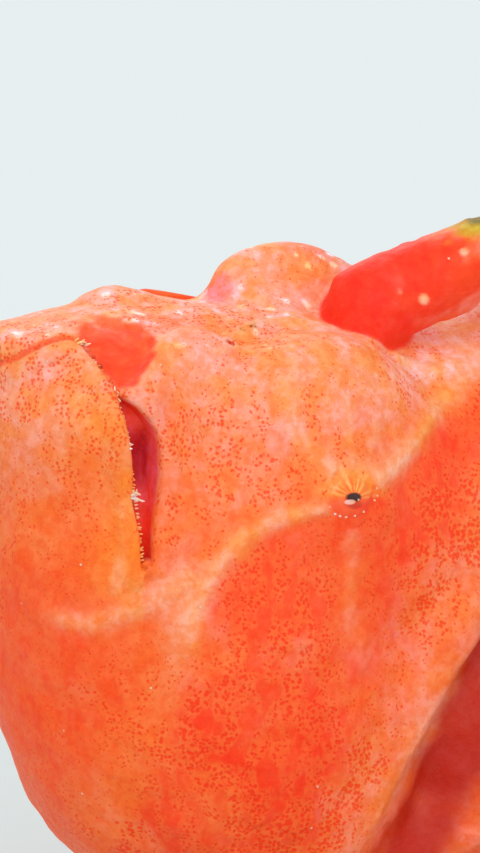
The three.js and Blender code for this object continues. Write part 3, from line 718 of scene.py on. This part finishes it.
def make_mesh(name, points, faces):
    """A mesh object from points in millimetres in the fish's frame."""
    mesh = bpy.data.meshes.new(name)
    world = (points - ORIGIN) * MM
    mesh.from_pydata(world.tolist(), [], faces.tolist() if hasattr(faces, "tolist") else faces)
    mesh.polygons.foreach_set("use_smooth", np.ones(len(mesh.polygons), bool))
    mesh.update()
    return add_object(name, mesh)


def corners_of(mesh):
    flat = np.empty(len(mesh.vertices) * 3)
    mesh.vertices.foreach_get("co", flat)
    return flat.reshape(-1, 3) / MM + ORIGIN


def move_corners(mesh, points):
    mesh.vertices.foreach_set("co", ((points - ORIGIN) * MM).ravel())
    mesh.update()


def coat(mesh, paint, dots):
    """Stores the paint and the strength of the dots at each corner."""
    colour = mesh.color_attributes.new("paint", "FLOAT_COLOR", "POINT")
    colour.data.foreach_set("color", np.column_stack([paint, np.ones(len(paint))]).ravel())
    strength = mesh.attributes.new("dots", "FLOAT", "POINT")
    strength.data.foreach_set("value", np.broadcast_to(dots, len(paint)).astype(np.float32))


def bands(rings):
    """Four-sided faces between neighbouring closed rings of corner numbers."""
    after = np.roll(rings, -1, axis=1)
    return np.stack([rings[:-1], rings[1:], after[1:], after[:-1]], axis=-1).reshape(-1, 4)


def plain_coat(piece, colour):
    """One colour all over a piece, without dots."""
    coat(piece.data, np.tile(colour, (len(piece.data.vertices), 1)), 0.0)
    return piece


def rounder(piece):
    """The piece with its mesh subdivided and smoothed once."""
    modifier = piece.modifiers.new("rounder", "SUBSURF")
    modifier.levels = 1
    finished = piece.evaluated_get(bpy.context.evaluated_depsgraph_get())
    mesh = bpy.data.meshes.new_from_object(finished)
    piece.modifiers.clear()
    piece.data = mesh
    return piece


def make_skin():
    points, faces = surface_net(skin, GRID)
    piece = rounder(make_mesh("skin", settle(points, skin, 1), faces))
    points = settle(corners_of(piece.data), skin)
    p = tuple(points.T)
    _, folded = straight(p)
    near = crests_at(folded)
    way, _ = slope(p, skin)
    points = points + np.stack(way, axis=1) * relief(p, folded, near)[:, None]
    move_corners(piece.data, points)
    coat(piece.data, *paint_skin(p, folded, near))
    return piece


# Fins: sheets over their rays. A path gives the place at share s across the rays and t along them


def ridge_at(x, way):
    """The height of the flesh's upper or lower edge over each x."""
    axis = np.full(x.shape, AXIS_Z)
    return search(axis, axis + way * TALLEST, lambda z: flesh((x, sway_at(x), z)) < 0)


def lerp2(pair, s):
    return mix(pair[0], pair[1], s)


# The back and anal fins: the way they stand, the lean at both ends and how it grows, the curl,
# the longest ray, how the lengths swell along the fin, and the wave's height, turns and start
DORSAL = {
    "rays": 13, "way": 1, "from": -25, "to": 68, "lean": (14, 62), "grow": 1.4, "curl": 0.35,
    "longest": 31, "swell": (0.08, 0.66), "sunk": 5, "wave": (2.4, 7, 1.5),
}
ANAL = {
    "rays": 8, "way": -1, "from": 28, "to": 69, "lean": (24, 58), "grow": 1, "curl": 0.3,
    "longest": 27, "swell": (0.12, 0.6), "sunk": 5, "wave": (1.6, 6, 0),
}
CAUDAL = {"rays": 9, "fan": 30, "root": 9, "longest": 52, "sunk": 7}
HAND = {"rays": 11, "from": 24, "to": 150, "length": 31, "width": 14, "sunk": 6}
FOOT = {"rays": 5, "from": 4, "to": 108, "length": 17, "width": 7, "sunk": 4}
# A fin's mesh: rows along it, columns for each ray, how far its root flares and its lowest point
SHEET = {"rows": 40, "per_ray": 10, "flare": 1.5, "lowest": 0.02}


def edge_path(fin):
    """The path of a fin that stands on the flesh's upper or lower edge."""
    high, turns, start = fin["wave"]
    least, more = fin["swell"]

    def path(s, t):
        x0 = mix(fin["from"], fin["to"], s)
        z0 = ridge_at(x0, fin["way"])
        lean = np.radians(lerp2(fin["lean"], s ** fin["grow"]))
        length = fin["longest"] * (0.55 + 0.45 * np.sin(np.pi * (least + more * s)))
        d = mix(-fin["sunk"], length[:, None], t)
        curl = lean[:, None] + fin["curl"] * t * t
        x = x0[:, None] + d * np.sin(curl)
        wave = high * t * np.sin(turns * s + start)[:, None]
        return x, sway_at(x) + wave, z0[:, None] + fin["way"] * d * np.cos(curl)

    return path


def caudal_path(s, t):
    across = (2 * s - 1)[:, None]
    angle = np.radians(CAUDAL["fan"] * across)
    d = t * CAUDAL["longest"] * (1 - 0.1 * across * across)
    x = TAIL_ROOT[0] - CAUDAL["sunk"] + d * np.cos(angle)
    wave = 2 * t * np.cos(5 * s)[:, None]
    return x, sway_at(x) + wave, TAIL_ROOT[2] + CAUDAL["root"] * across + d * np.sin(angle)


def fan_path(root, side, size):
    tip_z = 0.75

    def path(s, t):
        angle = np.radians(mix(size["from"], size["to"], s))[:, None]
        reach = (size["length"] * (0.84 + 0.16 * np.sin(np.pi * s)))[:, None]
        x0 = root[0] + stride_at(side * root[1]) + size["width"] * (s - 0.5)[:, None]
        d = mix(-size["sunk"], reach, t)
        fall = smoothstep(0.0, 1.0, d / (0.86 * reach))
        z = np.where(d < 0, root[2] - 0.15 * d, mix(root[2], tip_z, fall) + 0.6 * np.sin(np.pi * fall))
        return x0 - np.cos(angle) * d, side * (root[1] + np.sin(angle) * d), z

    return path


def make_fin(name, path, rays, ray_half, web_half, notch):
    """A fin as one closed sheet: thick along each ray, thin between, flared where it is rooted."""
    rows = SHEET["rows"]
    s = np.linspace(0.0, 1.0, (rays - 1) * SHEET["per_ray"] + 1)
    t = np.linspace(0.0, 1.0, rows + 1)[None, :]
    on_ray = 0.5 + 0.5 * np.cos(2 * np.pi * s * (rays - 1))
    reach = 1.0 - notch * (1.0 - on_ray**0.7)
    middle = np.stack(path(s, t * reach[:, None]), axis=-1)
    across = np.gradient(middle, axis=0)
    along = np.gradient(middle, axis=1)
    out = np.cross(across, along)
    out /= np.linalg.norm(out, axis=2, keepdims=True)
    round_ray = (on_ray**3)[:, None]
    half = mix(lerp2(web_half, t), lerp2(ray_half, t), round_ray)
    half = half + SHEET["flare"] * bump(t, 0.16)
    half = half * np.sqrt(np.clip(1.04 - t**8, 0.04, 1.0))
    columns, count = len(s), rows + 1
    faces_at = [middle + way * half[..., None] * out for way in (1.0, -1.0)]
    points = np.vstack([f.reshape(-1, 3) for f in faces_at])
    points[:, 2] = np.maximum(points[:, 2], SHEET["lowest"])
    # Each column's ring runs up one face and down the other, and the ends are capped
    up = np.arange(count)
    down = up + columns * count
    rings = np.append(up, down[::-1]) + count * np.arange(columns)[:, None]
    cap = np.column_stack([up[:-1], up[1:], down[1:], down[:-1]])
    other_cap = cap[:, ::-1] + rings[-1, 0]
    piece = make_mesh(name, points, np.vstack([bands(rings), cap, other_cap]))
    paint_fin(piece, on_ray, t, columns, count)
    return piece


def paint_fin(piece, on_ray, t, columns, count):
    p = tuple(corners_of(piece.data).T)
    along = np.tile(np.broadcast_to(t, (columns, count)).ravel(), 2)
    ray = np.tile(np.repeat(on_ray, count), 2)
    spots = smoothstep(0.35, 0.7, noise(p, 4.5, 21))
    paint = blend(
        np.tile(PAINT["orange"], (len(along), 1)),
        ("deep", 0.75 * (1.0 - ray) * smoothstep(0.1, 0.5, along) + 0.2),
        ("pale", 0.5 * ray * smoothstep(0.2, 0.9, along)),
        ("red", 0.45 * spots * smoothstep(0.15, 0.4, along)),
        ("line", 0.8 * smoothstep(0.9, 1.0, along)),
    )
    coat(piece.data, paint, 0.6)


# Each fin's path and rays, the half thickness of ray and web at root and tip, and its notches
FINS = {
    "dorsal_fin": (edge_path(DORSAL), DORSAL["rays"], (1.5, 0.7), (0.8, 0.4), 0.06),
    "anal_fin": (edge_path(ANAL), ANAL["rays"], (1.5, 0.7), (0.8, 0.4), 0.07),
    "caudal_fin": (caudal_path, CAUDAL["rays"], (1.7, 0.7), (0.9, 0.4), 0.06),
}
for part, root, size, sheet in (
    ("hand", WRIST, HAND, ((2.2, 0.9), (1.0, 0.45), 0.16)),
    ("foot", ANKLE, FOOT, ((2.1, 0.9), (1.0, 0.5), 0.22)),
):
    for name, side in (("left", -1), ("right", 1)):
        FINS[f"{name}_{part}"] = (fan_path(root, side, size), size["rays"], *sheet)


# Eyes: a low dome with a small dark pupil and a painted glint, a pale crescent, under it


def paint_eye(points, u, v):
    """The paint of the skin round the eye, with the pupil over it."""
    p = tuple(points.T)
    _, folded = straight(p)
    paint, dots = paint_skin(p, folded, crests_at(folded))
    # Each spot is an oval: how far a place lies from its middle, as a share of its half sizes
    pupil = np.hypot(u / 1.3, (v - 0.15) / 0.68)
    shade = np.hypot((u - 0.2) / 2.0, (v + 1.1) / 0.9)
    pupil_glint = np.hypot((u + 0.7) / 1.0, (v + 0.62) / 0.42)
    paint = blend(
        paint,
        # Painted shade: a red oval under the pupil
        ("red", 0.55 * smoothstep(1.0, 0.5, shade)),
        ("red", 0.8 * smoothstep(1.35, 1.05, pupil)),
        ("pupil", smoothstep(1.08, 0.92, pupil)),
        # A painted glint: the pale crescent under the pupil
        ("blush", 0.8 * smoothstep(1.1, 0.85, pupil_glint)),
    )
    return paint, dots


def make_eye(name, side):
    rings, sides = 96, 128
    point, ahead, up, out = eye_axes(side)
    centre = point - DOME["sunk"] * out
    theta = np.linspace(0.0, np.pi, rings + 1)[1:-1, None]
    phi = np.linspace(0.0, 2 * np.pi, sides, endpoint=False)[None, :]
    round_it = (np.sin(theta) * np.cos(phi), np.sin(theta) * np.sin(phi), np.cos(theta) + 0 * phi)
    local = np.stack(round_it, axis=-1)
    local = np.vstack([[(0.0, 0.0, 1.0)], local.reshape(-1, 3), [(0.0, 0.0, -1.0)]])
    u, v, w = (local * (DOME["u"], DOME["v"], DOME["w"])).T
    w = w + 0.25 * bump(np.hypot(u / 1.5, v), 1.1) * (w > 0)
    points = centre + u[:, None] * ahead + v[:, None] * up + w[:, None] * out
    last = len(points) - 1
    faces = bands(np.arange(1, last).reshape(-1, sides)).tolist()
    for c in range(sides):
        n = (c + 1) % sides
        faces.append((0, 1 + c, 1 + n))
        faces.append((last, last - sides + n, last - sides + c))
    if side > 0:
        faces = [f[::-1] for f in faces]
    piece = make_mesh(name, points, faces)
    coat(piece.data, *paint_eye(points, u, v))
    return piece


# Materials


class Graph:
    """The nodes of one new material, with short ways to add them."""

    def __init__(self, name):
        self.material = bpy.data.materials.new(name)
        self.material.use_nodes = True
        self.nodes = self.material.node_tree.nodes
        self.link = self.material.node_tree.links.new
        self.shader = self.nodes["Principled BSDF"]

    def feed(self, socket, value):
        """Gives a socket a number, a colour or what another socket says."""
        if isinstance(value, (int, float)):
            socket.default_value = value
        elif isinstance(value, np.ndarray):
            socket.default_value = (*value, 1.0)
        else:
            self.link(value, socket)

    def math(self, operation, a, b):
        node = self.nodes.new("ShaderNodeMath")
        node.operation = operation
        self.feed(node.inputs[0], a)
        self.feed(node.inputs[1], b)
        return node.outputs[0]

    def times(self, a, b):
        return self.math("MULTIPLY", a, b)

    def ramp(self, value, lo, hi):
        """value turned into 0 at lo and 1 at hi, smoothly."""
        node = self.nodes.new("ShaderNodeMapRange")
        node.interpolation_type = "SMOOTHSTEP"
        self.feed(node.inputs["From Min"], lo)
        self.feed(node.inputs["From Max"], hi)
        self.link(value, node.inputs["Value"])
        return node.outputs["Result"]

    def texture(self, kind, where, size, **settings):
        """A Noise or Voronoi texture whose features are about size metres across."""
        node = self.nodes.new(f"ShaderNodeTex{kind}")
        for name, value in settings.items():
            node.inputs[name].default_value = value
        node.inputs["Scale"].default_value = 1.0 / size
        self.link(where, node.inputs["Vector"])
        return node.outputs

    def vector(self, operation, value, by, plus=None):
        node = self.nodes.new("ShaderNodeVectorMath")
        node.operation = operation
        self.link(value, node.inputs[0])
        node.inputs[1].default_value = by
        if plus:
            self.link(plus, node.inputs[2])
        return node.outputs[0]

    def attribute(self, name, output):
        node = self.nodes.new("ShaderNodeAttribute")
        node.attribute_name = name
        return node.outputs[output]

    def mix(self, a, b, share, mode="MIX"):
        node = self.nodes.new("ShaderNodeMix")
        node.data_type = "RGBA"
        node.blend_type = mode
        for number, value in ((0, share), (6, a), (7, b)):
            self.feed(node.inputs[number], value)
        return node.outputs[2]

    def tint(self, shade, share, low, high):
        """The shade times low where share is 0, and times high where it is 1."""
        return self.mix(shade, self.mix(np.array(low), np.array(high), share), 1.0, "MULTIPLY")


# Sizes of the skin's fine features, in metres
FINE = {
    "grain": 0.0005, "dot": 0.00076, "pebble": 0.0017, "cluster": 0.0028,
    "speck_and_glint": 0.0034, "bend": 0.0035, "patch": 0.0062,
}
RING = linear(255, 138, 60)
DOT_TINT = np.array([0.98, 0.26, 0.05])


def skin_material(name, roughness, sheer, wet=0.04):
    """Moist skin: painted corners, clusters of fine dark dots, pale flecks that are partly painted glints,
    and a fine grain.
    """
    g = Graph(name)
    where = g.nodes.new("ShaderNodeTexCoord").outputs["Object"]
    bend = g.texture("Noise", where, FINE["bend"], Detail=2.0)["Color"]
    shift = g.vector("MULTIPLY_ADD", bend, (0.0016, 0.0016, 0.0016), where)
    grain = g.texture("Noise", where, FINE["grain"], Detail=3.0, Roughness=0.65)["Fac"]
    cells = g.texture("Voronoi", shift, FINE["dot"], Randomness=0.85)["Distance"]
    rough = g.math("ADD", cells, g.times(grain, 0.6))
    upright = g.vector("MULTIPLY", shift, (1.0, 1.0, 0.6))
    cluster = g.texture("Noise", upright, FINE["cluster"], Detail=2.5, Roughness=0.55)["Fac"]
    grouped = g.times(g.ramp(cluster, 0.4, 0.53), g.attribute("dots", "Fac"))
    # A dot is wide in the middle of a cluster and fades to nothing at its edge
    widest = g.math("ADD", g.times(grouped, 0.68), 0.32)
    dot = g.ramp(rough, widest, g.math("SUBTRACT", widest, 0.36))
    dot = g.times(dot, g.ramp(grouped, 0.05, 0.4))
    patches = g.texture("Noise", where, FINE["patch"], Detail=4.0, Roughness=0.62)["Fac"]
    mottles = g.texture("Noise", shift, FINE["pebble"], Detail=3.0, Roughness=0.6)["Fac"]
    shade = g.attribute("paint", "Color")
    shade = g.tint(shade, g.ramp(patches, 0.36, 0.64), (1.0, 0.84, 0.42), (1.0, 1.12, 1.5))
    shade = g.tint(shade, g.ramp(mottles, 0.36, 0.64), (0.98, 0.82, 0.64), (1.0, 1.14, 1.3))
    shade = g.mix(shade, RING, g.times(grouped, 0.32))
    shade = g.mix(shade, DOT_TINT, g.times(dot, 0.9), "MULTIPLY")
    shade = g.tint(shade, grain, (0.97, 0.86, 0.8), (1.0, 1.14, 1.2))
    # Pale flecks, partly the skin's own and partly painted glints: only the few whose random colour is high
    # enough are shown
    speck_and_glint_cells = g.texture("Voronoi", where, FINE["speck_and_glint"], Randomness=1.0)
    chosen = g.nodes.new("ShaderNodeSeparateColor")
    g.link(speck_and_glint_cells["Color"], chosen.inputs[0])
    shown_speck_and_glint = g.times(g.ramp(speck_and_glint_cells["Distance"], 0.08, 0.04), g.ramp(chosen.outputs[0], 0.78, 0.8))
    g.link(g.mix(shade, PAINT["cream"], g.times(shown_speck_and_glint, 0.7)), g.shader.inputs["Base Color"])
    pebbles = g.texture("Noise", where, FINE["pebble"], Detail=2.0)["Fac"]
    height = 0.0
    for source, weight in ((dot, -0.25), (grain, 0.8), (pebbles, 1.6), (shown_speck_and_glint, 1.0)):
        height = g.math("ADD", g.times(source, weight), height)
    lifted = g.nodes.new("ShaderNodeBump")
    lifted.inputs["Strength"].default_value = 0.75
    lifted.inputs["Distance"].default_value = 0.00022
    g.link(height, lifted.inputs["Height"])
    g.link(lifted.outputs["Normal"], g.shader.inputs["Normal"])
    for setting, value in (
        ("Roughness", roughness), ("Specular IOR Level", 0.2), ("Coat Weight", wet), ("Coat Roughness", 0.15),
        ("Subsurface Weight", sheer), ("Subsurface Radius", (1.0, 0.35, 0.2)), ("Subsurface Scale", 0.0012),
    ):
        g.shader.inputs[setting].default_value = value
    return g.material


# Tabs on the lower lip, the rod and its lure


def tube(points, radii, sides=12):
    """Corners and faces of a round bar along points, closed at both ends."""
    points = np.asarray(points, float)
    way = np.gradient(points, axis=0)
    way /= np.linalg.norm(way, axis=1, keepdims=True)
    side = np.cross(way, [0.3, 0.5, 0.81])
    side /= np.linalg.norm(side, axis=1, keepdims=True)
    other = np.cross(way, side)
    turn = np.linspace(0.0, 2 * np.pi, sides, endpoint=False)
    loop = np.cos(turn)[None, :, None] * side[:, None] + np.sin(turn)[None, :, None] * other[:, None]
    corners = (points[:, None] + np.asarray(radii)[:, None, None] * loop).reshape(-1, 3)
    ends = [points[0], points[-1]]
    first = len(corners)
    last_ring = first - sides
    faces = [(a, d, c, b) for a, b, c, d in bands(np.arange(first).reshape(-1, sides)).tolist()]
    for c in range(sides):
        n = (c + 1) % sides
        faces.append((first, n, c))
        faces.append((first + 1, last_ring + c, last_ring + n))
    return np.vstack([corners, ends]), faces


def joined(name, parts):
    """One mesh object from several lists of corners and faces."""
    points, faces, start = [], [], 0
    for corners, sides in parts:
        points.append(corners)
        faces.extend(tuple(n + start for n in face) for face in sides)
        start += len(corners)
    return make_mesh(name, np.vstack(points), faces)


def lobe(base, way, length, radius, bend=(0.0, 0.0, 0.0), steps=10, sides=10):
    """A blunt finger that leaves base along way and bends as it goes."""
    t = np.append(np.linspace(-0.25, 0.8, steps), (0.92, 0.98, 1.0))
    way = np.asarray(way, float) / np.linalg.norm(way)
    points = np.asarray(base) + np.outer(t * length, way) + np.outer(np.clip(t, 0, 1) ** 2 * length, bend)
    end = np.sqrt(1.001 - np.clip((t - 0.7) / 0.3, 0.0, 1.0) ** 2)
    return tube(points, radius * end * (1.0 - 0.3 * np.clip(t, 0.0, 1.0)), sides)


def rim_point(z, side):
    """A place on the lower lip's edge at height z, and the way the skin faces there."""
    upright = RIM[: np.argmax(RIM[:, 1]) + 1]
    point, out = skin_at(np.interp(z, upright[:, 1], upright[:, 0]) - 0.5, z)
    return mirrored(point, side), mirrored(out, side)


# Tabs on the lower lip: height, side, length and how many lobes each has
TABS = [
    (115.6, -1, 1.5, 14), (112.6, -1, 1.0, 5), (107.2, -1, 1.5, 14), (99.4, -1, 1.7, 3), (91.0, -1, 1.8, 10),
    (114.8, 1, 1.4, 12), (110.2, 1, 1.0, 4), (104.0, 1, 1.6, 12), (97.0, 1, 1.4, 3), (88.0, 1, 1.7, 10),
]
PAPILLA = {"lowest": 80.0, "highest": 112.0, "count": 56, "radius": 0.18}


def make_tabs():
    rng = np.random.default_rng(7)
    parts = []
    for z, side, length, lobes in TABS:
        point, out = rim_point(z, side)
        for _ in range(lobes):
            way = 0.6 * out + np.array([1.0, 0.0, 0.1]) + rng.normal(0, 0.5, 3)
            base = point + rng.normal(0, 0.35, 3)
            parts.append(lobe(base, way, length * rng.uniform(0.5, 1.0), 0.22, rng.normal(0, 0.25, 3)))
    return plain_coat(joined("lip_tabs", parts), mix(PAINT["blush"], PAINT["cream"], 0.5))


def make_papillae():
    rng = np.random.default_rng(9)
    parts = []
    for side in (-1, 1):
        for z in np.linspace(PAPILLA["lowest"], PAPILLA["highest"], PAPILLA["count"]):
            point, out = rim_point(z + rng.uniform(-0.3, 0.3), side)
            way = np.array([1.0, 0.0, 0.05]) + 0.35 * out + rng.normal(0, 0.2, 3)
            base = point + np.array([0.3, 0.0, 0.0]) + 0.1 * out
            parts.append(lobe(base, way, rng.uniform(0.25, 0.65), PAPILLA["radius"]))
    return plain_coat(joined("lip_papillae", parts), PAINT["line"])


ROD = {
    "from": (-103.0, 2.0), "to": (-60.0, 13.5), "base": 0.85, "tip": 0.5, "lift": (-1.0, 1.4), "points": 25,
}
LURE = {"lobes": 11, "length": 5.2, "radius": 0.75}


def rod_path():
    s = np.linspace(0.0, 1.0, ROD["points"])
    x = mix(ROD["from"][0], ROD["to"][0], s)
    y = mix(ROD["from"][1], ROD["to"][1], np.sqrt(s))
    axis = np.full(s.shape, AXIS_Z)
    z = search(axis, axis + TALLEST, lambda z: flesh((x, y, z)) < 0)
    return np.column_stack([x, y, z + mix(*ROD["lift"], np.minimum(5 * s, 1.0))])


def make_rod():
    path = rod_path()
    radii = mix(ROD["base"], ROD["tip"], np.linspace(0.0, 1.0, len(path)))
    piece = joined("fishing_rod", [tube(path, radii)])
    p = tuple(corners_of(piece.data).T)
    paint = np.tile(PAINT["orange"], (len(p[0]), 1))
    coat(piece.data, blend(paint, ("deep", smoothstep(-0.2, 0.5, noise(p, 3.0, 31)))), 0.2)
    return piece


def make_lure():
    rng = np.random.default_rng(11)
    path = rod_path()
    end = path[-1]
    way = end - path[-2]
    way /= np.linalg.norm(way)
    parts = []
    for n in range(LURE["lobes"]):
        turn = 2 * np.pi * n / LURE["lobes"] + rng.uniform(-0.2, 0.2)
        spread = rng.uniform(0.3, 0.7)
        ahead = way + spread * np.array([0.0, math.cos(turn), 0.5 + 0.7 * math.sin(turn)])
        length = LURE["length"] * rng.uniform(0.6, 0.95)
        parts.append(lobe(end, ahead, length, LURE["radius"], rng.normal(0, 0.15, 3), 9))
    return plain_coat(joined("lure", parts), mix(PAINT["cream"], PAINT["pink"], 0.2))


# Pale beads round the lower edge of each eye, towards the tail and up from its middle
BEADS = [
    (-4.2, -1.4), (-3.1, -2.6), (-2.2, -3.0), (-1.1, -3.2), (0.5, -3.0), (2.2, -2.4),
    (4.6, -0.6), (5.3, 0.2), (5.2, 1.5), (-5.0, -1.0),
]
# A bead's length and radius
BEAD = (0.32, 0.24)


def make_lid_beads():
    parts = []
    for side in (-1, 1):
        point, ahead, up, out = eye_axes(side)
        spots = np.array([point + u * ahead + v * up for u, v in BEADS])
        for spot in settle(spots, skin, 4):
            parts.append(lobe(spot, out, *BEAD))
    return plain_coat(joined("lid_beads", parts), PAINT["blush"])


# Camera, floor and lights

# The photo's scale and the pixel where its eye lies, in its frame of 480 by 853
PHOTO = {"width": 480, "height": 853, "eye": (352, 498), "pixels_per_mm": 6.0}
VIEW = {"azimuth": -25.0, "elevation": 4.0, "lens": 200.0, "sensor": 36.0}


def aim(thing, place, way):
    thing.location = place
    thing.rotation_mode = "QUATERNION"
    thing.rotation_quaternion = way.to_track_quat("-Z", "Y")


def make_camera():
    a, e = math.radians(VIEW["azimuth"]), math.radians(VIEW["elevation"])
    back = Vector((math.sin(a) * math.cos(e), -math.cos(a) * math.cos(e), math.sin(e)))
    right = Vector((math.cos(a), math.sin(a), 0.0))
    up = back.cross(right)
    eye, _ = EYE_SPOT
    eye = Vector((eye[0] - MIDDLE_X, -eye[1], eye[2]))
    across = (PHOTO["width"] / 2 - PHOTO["eye"][0]) / PHOTO["pixels_per_mm"]
    down = (PHOTO["height"] / 2 - PHOTO["eye"][1]) / PHOTO["pixels_per_mm"]
    target = eye + right * across - up * down
    tall = PHOTO["height"] / PHOTO["pixels_per_mm"]
    distance = tall * VIEW["lens"] / VIEW["sensor"]
    data = bpy.data.cameras.new("camera")
    data.lens = VIEW["lens"]
    data.sensor_width = VIEW["sensor"]
    data.clip_start, data.clip_end = 0.01, 50.0
    camera = add_object("camera", data)
    aim(camera, (target + back * distance) * MM, -back)
    bpy.context.scene.camera = camera


# The floor's colour and light fade into the backdrop's between these distances
FADE = {"from": 0.35, "to": 2.6, "half": 30.0}
BACKDROP = (0.8, 0.86, 0.87)


def make_floor():
    half = FADE["half"]
    mesh = bpy.data.meshes.new("floor")
    corners = [(-half, -half, 0), (half, -half, 0), (half, half, 0), (-half, half, 0)]
    mesh.from_pydata(corners, [], [(0, 1, 2, 3)])
    floor = add_object("floor", mesh)
    g = Graph("floor_surface")
    g.shader.inputs["Base Color"].default_value = (0.7, 0.71, 0.7, 1.0)
    g.shader.inputs["Roughness"].default_value = 0.85
    glow = g.nodes.new("ShaderNodeEmission")
    glow.inputs["Color"].default_value = (*BACKDROP, 1.0)
    length = g.nodes.new("ShaderNodeVectorMath")
    length.operation = "LENGTH"
    g.link(g.nodes.new("ShaderNodeTexCoord").outputs["Object"], length.inputs[0])
    either = g.nodes.new("ShaderNodeMixShader")
    for number, source in enumerate((
        g.ramp(length.outputs["Value"], FADE["from"], FADE["to"]), g.shader.outputs[0], glow.outputs[0],
    )):
        g.link(source, either.inputs[number])
    g.link(either.outputs[0], g.nodes["Material Output"].inputs["Surface"])
    mesh.materials.append(g.material)


def make_light(name, place, target, size, power):
    data = bpy.data.lights.new(name, "AREA")
    data.shape = "DISK"
    data.size = size
    data.energy = power
    aim(add_object(name, data), place, Vector(target) - Vector(place))


def make_world():
    world = bpy.data.worlds.new("studio")
    world.use_nodes = True
    world.node_tree.nodes["Background"].inputs["Color"].default_value = (*BACKDROP, 1.0)
    bpy.context.scene.world = world


def dress(piece, material, slot, *nodes):
    piece.data.materials.clear()
    piece.data.materials.append(material)
    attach(piece, "root")
    if nodes:
        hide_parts(*nodes)


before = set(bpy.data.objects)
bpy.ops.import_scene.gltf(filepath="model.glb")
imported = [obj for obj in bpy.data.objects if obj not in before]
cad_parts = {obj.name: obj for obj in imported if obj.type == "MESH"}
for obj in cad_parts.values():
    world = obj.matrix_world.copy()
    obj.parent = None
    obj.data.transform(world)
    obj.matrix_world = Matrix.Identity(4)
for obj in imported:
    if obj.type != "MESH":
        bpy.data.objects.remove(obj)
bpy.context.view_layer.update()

make_camera()
make_world()
make_floor()
head = (-0.07, 0.0, 0.09)
make_light("key", (-0.6, -0.8, 0.7), head, 0.6, 3.6)
make_light("fill", (0.5, -1.0, 0.25), head, 0.9, 1.2)
make_light("rim", (0.1, 0.9, 0.9), head, 0.6, 2.0)
bpy.context.scene.view_settings.view_transform = "Standard"

skin_surface = skin_material("skin_surface", 0.5, 0.15)
fin_surface = skin_material("fin_surface", 0.45, 0.35)
pale_surface = skin_material("pale_surface", 0.4, 0.3)
eye_surface = skin_material("eye_surface", 0.4, 0.1, 0.35)

FLESH_NODES = [
    "head", "torso", "caudal_peduncle", "lower_jaw", "second_dorsal_spine", "third_dorsal_spine",
    "left_arm", "right_arm", "left_leg", "right_leg",
]
dress(make_skin(), skin_surface, "skin", *FLESH_NODES)
for name, (path, *sizes) in FINS.items():
    dress(make_fin(f"{name}_sheet", path, *sizes), fin_surface, "fin", name)
for name, side in (("left_eye", -1), ("right_eye", 1)):
    dress(make_eye(f"{name}_ball", side), eye_surface, "eye", name)
dress(make_tabs(), pale_surface, "skin")
dress(make_papillae(), pale_surface, "skin")
dress(make_lid_beads(), pale_surface, "skin")
dress(make_rod(), skin_surface, "skin", "illicium")
dress(make_lure(), pale_surface, "lure", "esca")
